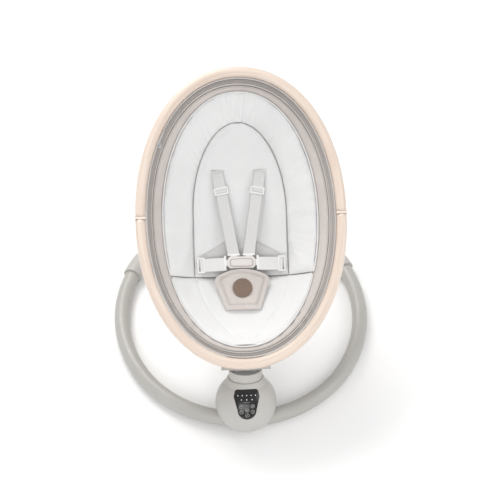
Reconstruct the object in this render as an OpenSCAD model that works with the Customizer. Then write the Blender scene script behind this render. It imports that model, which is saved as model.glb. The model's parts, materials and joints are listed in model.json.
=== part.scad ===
// Baby swing: an oval, wood-rimmed fabric seat on a short arm that sways about a leaning axis in
// a floor pod. The pod joins two bent tubes and a rear tube into a D-shaped floor base.
// Row frame: +X to the seat's right-hand edge seen from above with the head up the page, +Y towards
// the head end, +Z up. The origin is on the floor below the middle of the whole object.

/* [Floor base] */
// Outside diameter of the floor tubes
tube_d = 34; // [28:1:38]
// Height of the tube centreline above the floor
tube_z = 20; // [20:1:24]
// Radius of the front bend of the floor ring, at the tube centreline
front_r = 267; // [250:1:280]
// Half-angle of the front bend, from the pod round to each side bend
front_half = 57; // [50:1:60]
// Radius of the side bends of the floor ring, at the tube centreline
side_r = 319; // [300:1:340]
// Heading at which a side bend enters its corner moulding
corner_from = 112; // [106:1:114]
// Centreline radius of the corner mouldings
corner_r = 60; // [55:1:65]
// Outside diameter of the corner mouldings
corner_d = 44; // [42:1:48]

/* [Pod and swing axis] */
// Outside radius of the round pod
pod_r = 66; // [64:0.5:68]
// Height of the pod's centre above the floor
pod_z = 64; // [62:0.5:66]
// Distance from the ring's front bend centre forward to the pod's centre
pod_forward = 251; // [245:1:256]
// Lean of the swing axis back from the vertical
axis_lean = 28; // [24:0.5:32]
// Outside radius of the neck that turns on the pod
neck_r = 36; // [35:0.5:37]
// Wall thickness of the plastic shells
wall = 2.5; // [2:0.1:3]
// Elevation of the control panel's normal
panel_tilt = 49; // [44:1:54]
// Radius of each push button
button_r = 4.8; // [4:0.1:4.8]

/* [Seat rim] */
// Outside length of the oval rim
seat_l = 650; // [630:5:660]
// Outside width of the oval rim
seat_w = 450; // [430:5:460]
// Width of the rim's section, in the plane of the rim
rail_w = 23; // [21:0.5:25]
// Height of the rim's section, square to the plane of the rim
rail_h = 34; // [32:1:36]
// Angle of the rim to the floor, at rest
recline = 33; // [30:0.5:35]
// Height of the rim's centreline at the foot end
foot_z = 193.5; // [190:0.5:200]

/* [Seat bowl and cushions] */
// Height of the bowl's edge above the rim's centreline
bowl_top = 8; // [0:1:11]
// Depth of the bowl below the rim along the back
back_depth = 95; // [85:1:105]
// Extra depth of the bowl at the seat
seat_dip = 25; // [15:1:30]
// Half-width of the white inlay
inlay_hw = 167; // [160:1:170]
// Half-length of the white inlay
inlay_hl = 275; // [270:1:280]
// Half-width of the inlay's middle panel
panel_hw = 103; // [98:1:108]
// Distance of the middle panel's top from the middle of the seat
panel_top = 218; // [210:1:225]
// Place along the seat where the inlay meets the leg panel
inlay_end = -117; // [-120:1:-112]
// Width of the harness webbing
web_w = 25; // [20:1:26]

/* [Hidden] */
$fn = 64;
eps = 0.01;
SIDES = [-1, 1];

// ---- places worked out from the driving dimensions ----
rim_l = seat_l - rail_w;                       // centreline length of the rim
rim_hl = rim_l / 2;
rim_hw = (seat_w - rail_w) / 2;
foot_y = -245.8;                               // rim centreline at the foot, from the front bend's centre
rail_round = 2.6;                              // exponent that rounds the rim's section
rail_dual = rail_round / (rail_round - 1);
rail_reach = pow(pow(rail_w / 2 * cos(recline), rail_dual) + pow(rail_h / 2 * sin(recline), rail_dual),
  1 / rail_dual);
head_reach = foot_y + rim_l * cos(recline) + rail_reach;
pod_front = -pod_forward - pod_r;
origin_shift = -(head_reach + pod_front) / 2;  // puts the origin under the middle of the object
ring_c = [0, origin_shift, tube_z];            // centre of the front bend
pod_c = [0, origin_shift - pod_forward, pod_z];
seat_c = [0, origin_shift + foot_y + rim_hl * cos(recline), foot_z + rim_hl * sin(recline)];

// swing axis stations, measured along the axis from the pod's centre
cone_top = 60;                                 // top of the cone that carries the neck
cone_top_r = 38.5;
cone_slope = 0.5625;                           // how fast the cone widens downwards
neck_gap = 0.4;
neck_top = 79.5;
knuckle_a = 108.05;                            // station of the recline hinge
knuckle_r = 25;
knuckle_w = 44;
ear_w = 14;
pin_r = 6;
run_gap = 0.05;                                // radial clearance of a running fit

// The recline hinge in the seat's own frame: distance along the rim's plane and depth below it
hinge_w = [pod_c[1] + knuckle_a * sin(axis_lean), pod_c[2] + knuckle_a * cos(axis_lean)];
hinge_d = [hinge_w[0] - seat_c[1], hinge_w[1] - seat_c[2]];
hinge_t = hinge_d[0] * cos(recline) + hinge_d[1] * sin(recline);
hinge_n = -hinge_d[0] * sin(recline) + hinge_d[1] * cos(recline);

// ---- colours ----
shell_grey = [0.70, 0.69, 0.67];
tube_grey = [0.68, 0.67, 0.65];
wood_tone = [0.89, 0.82, 0.75];
fabric_grey = [0.76, 0.72, 0.70];
fabric_white = [0.94, 0.94, 0.94];
web_grey = [0.84, 0.84, 0.83];
steel_tone = [0.60, 0.61, 0.63];
rubber_tone = [0.25, 0.25, 0.26];
panel_black = [0.10, 0.10, 0.10];
copper_tone = [0.72, 0.45, 0.25];

// ---- frames ----
module at_pod_axis() { translate(pod_c) rotate([-axis_lean, 0, 0]) children(); }
module at_seat() { translate(seat_c) rotate([recline, 0, 0]) children(); }
module at_hinge() { at_seat() translate([0, hinge_t, hinge_n]) rotate([0, 90, 0]) children(); }
module at_panel() { translate(pod_c) rotate([90 - panel_tilt, 0, 0]) children(); }
module on_side(s) { if (s > 0) children(); else mirror([1, 0, 0]) children(); }
module both_sides() { for (s = SIDES) on_side(s) children(); }

// ---- floor ring ----
// Centre of the side bend, from the front bend's centre
side_c = [(front_r - side_r) * sin(front_half), -(front_r - side_r) * cos(front_half)];
elbow_from = corner_from + 7.2;
elbow_c = side_c + (side_r - corner_r) * [sin(elbow_from), -cos(elbow_from)];
rear_y = elbow_c[1] + corner_r;                // rear tube centreline, from the front bend's centre
rear_hx = elbow_c[0];
spigot_l = 20;                                 // length of a corner's spigot inside the rear tube

// A stretch of ring of centreline radius r from heading h0 to heading h1 about centre c
module bend(c, r, h0, h1) {
  translate([c[0], c[1], 0]) rotate([0, 0, h0 - 90]) rotate_extrude(angle = h1 - h0, $fn = 128)
    translate([r, 0]) children();
}
module tube_section(r) { circle(r = r, $fn = 48); }
module tube_ring() { difference() { tube_section(tube_d / 2); tube_section(tube_d / 2 - 1.5); } }

pod_entry = 7.5;                               // heading at which the front bend comes out inside the pod
module base_tube(s) {
  color(tube_grey) translate(ring_c) on_side(s) {
    bend([0, 0], front_r, pod_entry, front_half) tube_ring();
    bend(side_c, side_r, front_half, elbow_from) tube_ring();
  }
}
module rear_tube() {
  color(tube_grey) translate(ring_c + [0, rear_y, 0]) rotate([0, 90, 0]) difference() {
    cylinder(d = tube_d, h = 2 * rear_hx, center = true);
    cylinder(d = tube_d - 3, h = 2 * rear_hx + 2, center = true);
  }
}
pad_t = 2;
// Section of a corner moulding: round, with its underside cut flat a pad's thickness above the floor
module corner_section() {
  intersection() {
    tube_section(corner_d / 2);
    translate([-corner_d, pad_t - tube_z]) square([2 * corner_d, 2 * corner_d]);
  }
}
module corner(s) {
  color(shell_grey) translate(ring_c) on_side(s) {
    bend(elbow_c, corner_r, elbow_from, 180) corner_section();
    translate([rear_hx, rear_y, 0]) rotate([0, -90, 0]) cylinder(d = tube_d - 3, h = spigot_l);
  }
}
module sleeve(s) {
  color(shell_grey) translate(ring_c) on_side(s) bend(side_c, side_r, corner_from, elbow_from) difference() {
    corner_section();
    tube_section(tube_d / 2);
  }
}
module rear_pads() {
  color(rubber_tone) translate([ring_c[0], ring_c[1], 0]) both_sides()
    bend(elbow_c, corner_r, elbow_from + 4, 176) translate([-9, 0]) square([18, pad_t]);
}
foot_h = 4;                                    // height of the pod's ring-shaped foot
module front_pad() {
  color(rubber_tone) translate([0, pod_c[1], 0]) difference() {
    cylinder(r = 27, h = foot_h);
    translate([0, 0, -1]) cylinder(r = 19, h = foot_h + 2);
  }
}

// ---- pod ----
split_z = 38.5;                                // parting plane of the pod's two shells

// Half outline of the pod about the swing axis, drawn in by d from the outside: a ball with a cone on it
module pod_profile(d) {
  roof = cone_top - (d > wall / 2 ? 3 : 0);
  function cone_x(z) = cone_top_r - d + cone_slope * (roof - z);
  intersection() {
    union() {
      circle(r = pod_r - d, $fn = 128);
      polygon([[-10, 30], [cone_x(30), 30], [cone_x(roof + 5), roof + 5], [-10, roof + 5]]);
    }
    translate([0, -200]) square([200, 200 + roof]);
  }
}
module pod_solid(d) { at_pod_axis() rotate_extrude($fn = 128) pod_profile(d); }
module floor_slab(z0, z1) { translate([-300, pod_c[1] - 300, z0]) cube([600, 600, z1 - z0]); }
module tube_bores(r) {
  translate(ring_c) both_sides() bend([0, 0], front_r, pod_entry, 30) tube_section(r);
}
post_x = 22;                                   // place of the carrier's posts and screws, either side
screw_off = 14.5;                              // and behind the swing axis
pilot_r = 1.6;

module pod_lower_shell() {
  color(shell_grey) difference() {
    union() {
      difference() {
        intersection() {
          pod_solid(0);
          floor_slab(foot_h, split_z);
        }
        intersection() {
          pod_solid(wall);
          floor_slab(foot_h + wall, 200);
        }
      }
      // posts that the bearing carrier is screwed to
      for (s = SIDES) intersection() {
        translate([s * post_x, pod_c[1] + 14, foot_h + 1]) cylinder(r = 5, h = 60);
        at_pod_axis() translate([-100, -100, -100]) cube([200, 200, 104]);
      }
      // pedestal under the drive coil
      intersection() {
        at_pod_axis() translate([0, lever_r, -100]) cylinder(r = 8, h = 88 + lever_z);
        pod_solid(wall / 2);
        floor_slab(foot_h + wall / 2, split_z);
      }
    }
    tube_bores(tube_d / 2);
    carrier_screw_holes();
  }
}
module carrier_screw_holes() {
  at_pod_axis() both_sides() translate([post_x, screw_off, -6]) cylinder(r = pilot_r, h = 20, $fn = 24);
}
module pod_upper_shell() {
  color(shell_grey) difference() {
    intersection() {
      pod_solid(0);
      floor_slab(split_z, 300);
    }
    intersection() {
      pod_solid(wall);
      floor_slab(0, 300);
    }
    at_pod_axis() cylinder(r = 21, h = 100);
    fascia_blank(0.8, 20);
    for (b = BUTTONS) at_panel() translate([b[0], b[1], 40]) cylinder(r = button_r + 0.3, h = 40);
    for (l = LIGHTS) at_panel() translate([l[0], l[1], 40]) cylinder(r = 1.3, h = 40, $fn = 24);
    translate([0, pod_c[1] + jack_y, jack_z]) rotate([-90, 0, 0]) cylinder(r = 6, h = 60);
  }
}
module pod_screws() {
  color(steel_tone) at_pod_axis() both_sides() translate([post_x, screw_off, 8]) {
    cylinder(r = 4, h = 2.4, $fn = 32);
    translate([0, 0, -14]) cylinder(r = pilot_r, h = 14, $fn = 24);
  }
}

// ---- control panel ----
// Places of the push buttons and of the indicator lights on the panel, across and up
BUTTONS = [[0, -11.6], [-12.1, -3.4], [12.1, -3.4], [-12.1, -15.6], [12.1, -15.6], [0, -22.6]];
LIGHTS = [for (i = [-2:2]) [9.3 * i, 19.5], for (i = [-1:1]) [11.4 * i, 10.6]];
fascia_top = 32;
fascia_low = -32;

module fascia_outline() {
  r_low = 20;
  r_top = 7;
  hw = 27.5;
  widest_y = 17;
  top_c = [hw - 2 - r_top, fascia_top - r_top];
  both_corners() translate(top_c) circle(r = r_top);
  translate([0, fascia_low + r_low]) circle(r = r_low);
  polygon([[-19.6, -14], [-hw, widest_y], [-25, 27], [25, 27], [hw, widest_y], [19.6, -14]]);
  translate([-top_c[0], widest_y]) square([2 * top_c[0], fascia_top - widest_y - 0.02]);
}
module both_corners() {
  children();
  mirror([1, 0]) children();
}
module pod_ball(r) { translate(pod_c) sphere(r = r, $fn = 128); }
// The panel's plate, from depth d below the pod's skin to h above it
module fascia_blank(d, h) {
  intersection() {
    at_panel() translate([0, 0, 40]) linear_extrude(60) fascia_outline();
    difference() {
      pod_ball(pod_r + h);
      pod_ball(pod_r - d);
    }
  }
}
module panel_fascia() {
  color(panel_black) difference() {
    fascia_blank(0.8, 0.8);
    for (b = BUTTONS) at_panel() translate([b[0], b[1], 40]) cylinder(r = button_r + 0.25, h = 40);
    for (l = LIGHTS) at_panel() translate([l[0], l[1], 40]) cylinder(r = 1.2, h = 40, $fn = 24);
  }
}
module indicator_lights() {
  color("white") intersection() {
    for (l = LIGHTS) at_panel() translate([l[0], l[1], 54]) cylinder(r = 1.2, h = 30, $fn = 24);
    pod_ball(pod_r + 1);
  }
}
board_h = 50;                                  // height of the control board above the pod's centre
board_t = 1.6;
module control_board() {
  color("darkgreen") {
    at_panel() translate([-21, -28, board_h]) cube([42, 52, board_t]);
    // pegs up to the shell
    intersection() {
      at_panel() both_sides() for (y = [-24, 4])
        translate([19, y, board_h + board_t / 2]) cylinder(r = 2, h = 20);
      pod_solid(wall + 0.05);
    }
  }
}
button_travel = 0.8;
module push_button(i) {
  b = BUTTONS[i];
  color([0.16, 0.16, 0.16]) intersection() {
    at_panel() translate([b[0], b[1], board_h + board_t + button_travel + 0.4])
      cylinder(r = button_r, h = 30);
    pod_ball(pod_r + 1.4);
  }
}
module speaker() {
  color(rubber_tone) translate([-38, pod_c[1] + 22, pod_c[2] + 2]) rotate([0, -60, 20]) {
    cylinder(r = 12, h = 6);
    translate([0, 0, -5]) cylinder(r = 8, h = 5);
  }
}

// ---- swing drive ----
bearing_r = 16;
bearing_t = 10;
bearing_at = [12, 46];
shaft_r = 7;
carrier_r = 20;
module bearing_carrier() {
  color(steel_tone) at_pod_axis() difference() {
    union() {
      translate([0, 0, 8]) cylinder(r = carrier_r, h = 49);
      translate([0, 0, 4]) cylinder(r = 30, h = 4);
      translate([-30, 0, 4]) cube([60, 22, 4]);
    }
    translate([0, 0, -1]) cylinder(r = 12, h = 80);
    for (z = bearing_at) translate([0, 0, z]) cylinder(r = bearing_r, h = z > 30 ? 40 : bearing_t);
    both_sides() translate([post_x, screw_off, 0]) cylinder(r = pilot_r, h = 20, $fn = 24);
  }
}
module bearing_ring(outer, inner) {
  difference() {
    cylinder(r = outer, h = bearing_t);
    translate([0, 0, -1]) cylinder(r = inner, h = bearing_t + 2);
  }
}
module swing_bearings() {
  color("silver") at_pod_axis() for (z = bearing_at) translate([0, 0, z]) {
    bearing_ring(bearing_r, 13);
    bearing_ring(10, shaft_r + run_gap);
    for (i = [0:8]) rotate([0, 0, 40 * i]) translate([11.5, 0, bearing_t / 2]) sphere(r = 1.45, $fn = 24);
  }
}
shaft_low = -24;
module swing_shaft() {
  color(steel_tone) at_pod_axis() translate([0, 0, shaft_low]) cylinder(r = shaft_r, h = 74 - shaft_low);
}
module shaft_nut() {
  color(steel_tone) at_pod_axis() translate([0, 0, shaft_low + 1]) difference() {
    cylinder(r = 11.5, h = 6, $fn = 6);
    translate([0, 0, -1]) cylinder(r = shaft_r, h = 8);
  }
}
lever_z = -12;
lever_r = 38;
module magnet_lever() {
  color(steel_tone) at_pod_axis() translate([0, 0, lever_z]) difference() {
    union() {
      cylinder(r = 12, h = 8);
      translate([-8, 0, 0]) cube([16, lever_r, 4]);
      translate([0, lever_r, 0]) cylinder(r = 10, h = 4);
    }
    translate([0, 0, -1]) cylinder(r = shaft_r, h = 12);
  }
}
module drive_magnet() {
  color("dimgray") at_pod_axis() translate([0, lever_r, lever_z - 5]) cylinder(r = 8, h = 5);
}
module drive_coil() {
  color(copper_tone) at_pod_axis() translate([0, lever_r, lever_z - 12]) difference() {
    cylinder(r = 12, h = 5);
    translate([0, 0, -1]) cylinder(r = 5, h = 7);
  }
}
jack_y = 40;
jack_z = 52;
jack_r = 2.8;
module power_jack() {
  color(rubber_tone) translate([0, pod_c[1] + jack_y, jack_z]) rotate([-90, 0, 0]) difference() {
    union() {
      cylinder(r = 6, h = 25);
      translate([-7, -7, 0]) cube([14, 14, 8]);
    }
    translate([0, 0, 13]) cylinder(r = jack_r, h = 20, $fn = 48);
  }
}

// ---- arm ----
core_d = 30;                                   // depth of the core's tongue, front to back
module arm_core() {
  color(steel_tone) difference() {
    at_pod_axis() union() {
      translate([0, 0, 64]) cylinder(r = 18, h = 6 + eps);
      translate([-knuckle_w / 2, -core_d / 2, 70]) cube([knuckle_w, core_d, knuckle_a - 70]);
      translate([0, 0, knuckle_a]) rotate([0, 90, 0]) cylinder(r = knuckle_r, h = knuckle_w, center = true);
    }
    at_pod_axis() cylinder(r = shaft_r, h = 74);
    at_hinge() cylinder(r = pin_r, h = 100, center = true);
  }
}
module arm_shell(s) {
  color(shell_grey) at_pod_axis() difference() {
    translate([0, 0, cone_top + neck_gap]) cylinder(r = neck_r, h = neck_top - cone_top - neck_gap);
    translate([0, 0, 63]) cylinder(r = 18, h = 7 + eps);
    translate([0, 0, 50]) cylinder(r = 21.5, h = 13 + eps);
    translate([-knuckle_w / 2, -core_d / 2, 70]) cube([knuckle_w, core_d, 40]);
    translate([0, 0, knuckle_a]) rotate([0, 90, 0]) cylinder(r = knuckle_r + 1.5, h = 100, center = true);
    translate([-60, s > 0 ? -60 : 0, 0]) cube([120, 60, 100]);
  }
}
module hinge_pin() {
  color("silver") at_hinge() difference() {
    cylinder(r = pin_r, h = knuckle_w + 12, center = true);
    cylinder(r = 3, h = 100, center = true);
  }
}
release_r = 11;
release_travel = 3.5;
module release_button(s) {
  x0 = knuckle_w / 2 + 7.4;
  color(web_grey) at_seat() on_side(s) translate([x0 + release_travel, hinge_t, hinge_n]) rotate([0, 90, 0]) {
    cylinder(r = release_r, h = 5.6);
    translate([0, 0, 5.6]) cylinder(r1 = release_r, r2 = release_r - 2, h = 2);
  }
}

// ---- seat: shared functions, in the seat's own frame (x across, t along to the head, n up) ----
oval_m = 2.1;                                  // exponent of the rim's superellipse
bowl_hw = seat_w / 2 - rail_w - 0.5;
bowl_hl = seat_l / 2 - rail_w - 0.5;
function sgn_pow(v, p) = (v < 0 ? -1 : 1) * pow(abs(v), p);
function oval_pt(a, b, ang, m = oval_m) = [a * sgn_pow(cos(ang), 2 / m), b * sgn_pow(sin(ang), 2 / m)];
function bowl_h(t) = back_depth + seat_dip * exp(-pow((t + 85) / 110, 2));
function bowl_r(x, t) =
  min(1, pow(pow(abs(x) / bowl_hw, oval_m) + pow(abs(t) / bowl_hl, oval_m), 1 / oval_m));
function bowl_n(x, t) = bowl_top - (bowl_h(t) + bowl_top) * (1 - pow(bowl_r(x, t), 4));
// Slope of the bowl along the seat, in degrees
function bowl_slope(x, t) = atan((bowl_n(x, t + 2) - bowl_n(x, t - 2)) / 4);

// Slope of the bowl across the seat, in degrees
function bowl_tilt(x, t) = atan((bowl_n(x + 2, t) - bowl_n(x - 2, t)) / 4);

// Skin of a solid made of rings of k points each: each ring is closed, and the ends are capped
function ring_faces(n, k) = [for (i = [0:n - 2], j = [0:k - 1])
  [i * k + j, i * k + (j + 1) % k, (i + 1) * k + (j + 1) % k, (i + 1) * k + j]];
module loft(rings) {
  n = len(rings);
  k = len(rings[0]);
  polyhedron(points = [for (r = rings) each r],
    faces = concat([[for (j = [k - 1:-1:0]) j]], ring_faces(n, k), [[for (j = [0:k - 1]) (n - 1) * k + j]]),
    convexity = 8);
}
// A loft whose last ring joins its first
module closed_loft(rings) {
  n = len(rings);
  k = len(rings[0]);
  polyhedron(points = [for (r = rings) each r],
    faces = [for (i = [0:n - 1], j = [0:k - 1])
      [i * k + j, i * k + (j + 1) % k, ((i + 1) % n) * k + (j + 1) % k, ((i + 1) % n) * k + j]],
    convexity = 8);
}

// ---- rim ----
rim_k = 20;                                    // points round the rim's section
function rim_dir(ang) =
  let (p = oval_pt(rim_hw, rim_hl, ang - 1), q = oval_pt(rim_hw, rim_hl, ang + 1), d = q - p) d / norm(d);
function rim_ring(ang) = let (c = oval_pt(rim_hw, rim_hl, ang), d = rim_dir(ang), o = [d[1], -d[0]])
  [for (j = [0:rim_k - 1]) let (s = oval_pt(rail_w / 2, rail_h / 2, -360 * j / rim_k, rail_round))
    [c[0] + o[0] * s[0], c[1] + o[1] * s[0], s[1]]];
join_half = 2.6;                               // half-length of a joint band, with its clearance
join_r = 7;                                    // outside radius of the tubular pins across the joints
module rim_half(from) {
  steps = 44;
  difference() {
    loft([for (i = [0:steps]) rim_ring(from + 180 * i / steps)]);
    cube([seat_w + 20, 2 * join_half, rail_h + 10], center = true);
    screw_holes();
    both_sides() translate([rim_hw, 0, 0]) rotate([90, 0, 0]) cylinder(r = join_r, h = 60, center = true);
  }
}
module rim_upper() { color(wood_tone) at_seat() rim_half(0); }
module rim_lower() { color(wood_tone) at_seat() rim_half(180); }
module rim_joint_bands() {
  color([0.96, 0.90, 0.84]) at_seat() both_sides() translate([rim_hw, 0, 0]) rotate([90, 0, 0]) difference() {
    linear_extrude(5, center = true) intersection() {
      square([rail_w - 1, rail_h - 1], center = true);
      circle(r = rail_h / 2 + 0.5);
    }
    cylinder(r = join_r, h = 10, center = true);
  }
}
module rim_joint_pins() {
  color(steel_tone) at_seat() both_sides() translate([rim_hw, 0, 0]) rotate([90, 0, 0]) difference() {
    cylinder(r = join_r, h = 58, center = true);
    cylinder(r = join_r - 1.5, h = 70, center = true);
  }
}

// ---- seat bracket ----
bracket_hx = knuckle_w / 2 + 0.6 + ear_w;
flange_hx = 52;
flange_t = 6;
screw_x = 44;
screw_r = 2.5;
spine_w = 70;
spine_t = 8;
spine_to = -70;
function spine_top(t) = bowl_n(0, t) - 7.5;
flange_top = -rail_h / 2 - 0.2;                // top of the flange, just below the rim
module seat_bracket() {
  spine_from = hinge_t + 24;
  ts = [for (i = [0:14]) spine_from + (spine_to - spine_from) * i / 14];
  side_x = knuckle_w / 2 + 0.6;
  color(shell_grey) at_seat() difference() {
    union() {
      // ears and the bridge between them
      both_sides() translate([side_x, hinge_t, hinge_n]) rotate([0, 90, 0])
        cylinder(r = knuckle_r, h = ear_w);
      both_sides() translate([side_x, hinge_t - 22, hinge_n]) cube([ear_w, 40, 16]);
      translate([-bracket_hx, -rim_hl - 11, hinge_n + 16])
        cube([2 * bracket_hx, 22, flange_top - hinge_n - 16]);
      translate([-flange_hx, -rim_hl - 11, flange_top - flange_t]) cube([2 * flange_hx, 22, flange_t]);
      // spine under the bowl
      rotate([90, 0, 90]) translate([0, 0, -spine_w / 2]) linear_extrude(spine_w) polygon(concat(
        [for (t = ts) [t, spine_top(t)]], [for (i = [14:-1:0]) [ts[i], spine_top(ts[i]) - spine_t]]));
      both_sides() translate([side_x, hinge_t + 8, hinge_n - 14]) cube([spine_w / 2 - side_x, 24, 12]);
    }
    translate([0, hinge_t, hinge_n]) rotate([0, 90, 0]) {
      cylinder(r = pin_r + run_gap, h = 200, center = true);
      cylinder(r = knuckle_r + 1.5, h = knuckle_w + 1.2, center = true);
      // pockets for the release buttons
      for (s = SIDES) translate([0, 0, s * (bracket_hx + 42)])
        cylinder(r = release_r + 0.2, h = 100, center = true);
    }
    screw_holes();
  }
}
screw_t = -oval_hw(rim_hl, rim_hw, screw_x);   // on the rim's centreline
// Holes through the bracket's flange and up into the rim
module screw_holes() {
  both_sides() translate([screw_x, screw_t, -rail_h / 2 - 20]) cylinder(r = screw_r, h = 34);
}
module bracket_screws() {
  color(steel_tone) at_seat() both_sides() translate([screw_x, screw_t, flange_top - flange_t]) {
    translate([0, 0, -2.6]) cylinder(r = 5, h = 2.6);
    cylinder(r = screw_r, h = flange_t + 13);
  }
}

// ---- soft parts ----
// Rings of points on the bowl at share r of the oval, at height up above its inner face
function on_bowl(p, up) = [p[0], p[1], bowl_n(p[0], p[1]) + up];
function bowl_loop(a, b, up, k) = [for (j = [0:k - 1]) on_bowl(oval_pt(a, b, 360 * j / k), up)];
shell_t = 4;                                   // thickness of the fabric bowl
module seat_shell() {
  k = 48;
  shares = [1, 0.985, 0.95, 0.9, 0.84, 0.76, 0.66, 0.54, 0.4, 0.24, 0.08];
  inner = [for (s = shares) bowl_loop(bowl_hw * s, bowl_hl * s, 0, k)];
  outer = [for (i = [len(shares) - 1:-1:0]) bowl_loop(bowl_hw * shares[i], bowl_hl * shares[i], -shell_t, k)];
  rings = concat(inner, outer);
  color(fabric_grey) at_seat() dish(rings, len(shares), k);
}
// Closed skin of a dish: inner rings from rim to middle, then outer rings from middle to rim
module dish(rings, m, k) {
  n = len(rings);
  inner_end = m - 1;
  faces = concat(
    [for (i = [0:n - 2], j = [0:k - 1]) if (i != inner_end)
      [i * k + j, (i + 1) * k + j, (i + 1) * k + (j + 1) % k, i * k + (j + 1) % k]],
    [[for (j = [k - 1:-1:0]) inner_end * k + j]], [[for (j = [0:k - 1]) (inner_end + 1) * k + j]],
    [for (j = [0:k - 1]) [(n - 1) * k + j, j, (j + 1) % k, (n - 1) * k + (j + 1) % k]]);
  polyhedron(points = [for (r = rings) each r], faces = faces, convexity = 8);
}
zip_up = 1.6;                                  // height of the zip tape above the bowl
module zip_tape() {
  steps = 72;
  function strip(ang) =
    let (p = oval_pt(bowl_hw, bowl_hl, ang) * 0.985, q = oval_pt(bowl_hw * 0.955, bowl_hl * 0.97, ang))
    [on_bowl(q, zip_up), on_bowl(p, zip_up), on_bowl(p, 2 * zip_up), on_bowl(q, 2 * zip_up)];
  color(fabric_grey) at_seat() closed_loft([for (i = [0:steps - 1]) strip(360 * i / steps)]);
}
zip_ang = 151;                                 // where the zip's slider stands round the rim
// Section of the slider at angle ang: as wide as the zip tape, from just above it, h thick
function slider_ring(ang, low, high, h) =
  let (p = oval_pt(bowl_hw * high, bowl_hl * high, ang), q = oval_pt(bowl_hw * low, bowl_hl * low, ang),
    up = 2 * zip_up + 1)
  [on_bowl(q, up), on_bowl(p, up), on_bowl(p, up + h), on_bowl(q, up + h)];
module zip_slider() {
  color(steel_tone) at_seat() {
    loft([for (i = [0:4]) slider_ring(zip_ang - 1.5 + 0.75 * i, 0.95, 0.985, 4)]);
    loft([for (i = [0:8]) slider_ring(zip_ang + 1.2 + 0.9 * i, 0.955, 0.98, 2)]);
  }
}

// Outer edge of the inlay and edge of its middle panel, at angle ang from straight across
function inlay_pt(ang) = oval_pt(inlay_hw, inlay_hl, ang);
inlay_low = asin(pow(abs(inlay_end) / inlay_hl, oval_m / 2));
arch_mid = 20;                                 // where the middle panel's sides start to close in
function arch_pt(ang) = ang >= 0 && ang <= 180
  ? [panel_hw * cos(ang), arch_mid + (panel_top - arch_mid) * sin(ang)]
  : [ang < 0 ? panel_hw : -panel_hw,
    arch_mid + (ang < 0 ? ang : 180 - ang) * (arch_mid - inlay_end) / inlay_low];
rim_pad = 15;                                  // thickness of the inlay's padded rim
mid_pad = 7;                                   // thickness of the inlay's middle panel
leg_pad = 8;                                   // thickness of the leg panel
pad_gap = 2;                                   // the inlay's clearance above the bowl
// Section of the padded rim at angle ang: a flat underside on the bowl and a crowned top
function pad_crown(f) = 2 + (rim_pad - 2) * pow(sin(180 * (0.06 + 0.88 * f)), 0.6);
function pad_ring(ang) = let (p = inlay_pt(ang), q = arch_pt(ang), k = 7)
  concat([for (i = [0:k]) on_bowl(p + (q - p) * i / k, pad_gap)],
    [for (i = [k:-1:0]) on_bowl(p + (q - p) * i / k, pad_gap + pad_crown(i / k))]);
module inlay_rim_cushion() {
  steps = 44;
  sweep = 180 + 2 * inlay_low;
  color(fabric_white) at_seat() loft([for (i = [0:steps]) pad_ring(-inlay_low + sweep * i / steps)]);
}
// Section across the seat at t, of half-width hw and thickness th
function slab_ring(t, hw, th) = let (k = 10)
  concat([for (i = [0:k]) on_bowl([hw * (2 * i / k - 1), t], pad_gap)],
    [for (i = [k:-1:0]) on_bowl([hw * (2 * i / k - 1), t], pad_gap + th)]);
function arch_hw(t) = t <= arch_mid ? panel_hw
  : panel_hw * sqrt(max(0, 1 - pow((t - arch_mid) / (panel_top - arch_mid), 2)));
function oval_hw(a, b, t) = a * pow(max(0, 1 - pow(abs(t) / b, oval_m)), 1 / oval_m);
module inlay_panel() {
  steps = 26;
  ts = [for (i = [0:steps]) inlay_end + (panel_top - 3 - inlay_end) * sin(90 * i / steps)];
  color(fabric_white) at_seat() loft([for (t = ts) slab_ring(t, arch_hw(t) - 0.8, mid_pad)]);
}
module leg_panel() {
  steps = 20;
  ts = [for (i = [0:steps]) inlay_end - 1.3 - (inlay_hl - 4 + inlay_end) * sin(90 * (1 - i / steps))];
  color(fabric_white) at_seat() loft([for (t = ts) slab_ring(t, oval_hw(inlay_hw, inlay_hl, t), leg_pad)]);
}

// ---- harness ----
web_t = 1.8;                                   // thickness of the webbing
slot = [47, 113];                              // where a shoulder strap comes out of the panel
buckle_t = -88;
pad_lift = 19;                                 // height of the buckle above the cushion
strap_end = [16.5, buckle_t + 17];
slot_lift = 1.2;                               // height of a shoulder strap above the panel at its slot
strap_lift = pad_lift + 1;
strap_bow = 4;
function pad_top(x, t) = bowl_n(x, t) + pad_gap + mid_pad;
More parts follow.
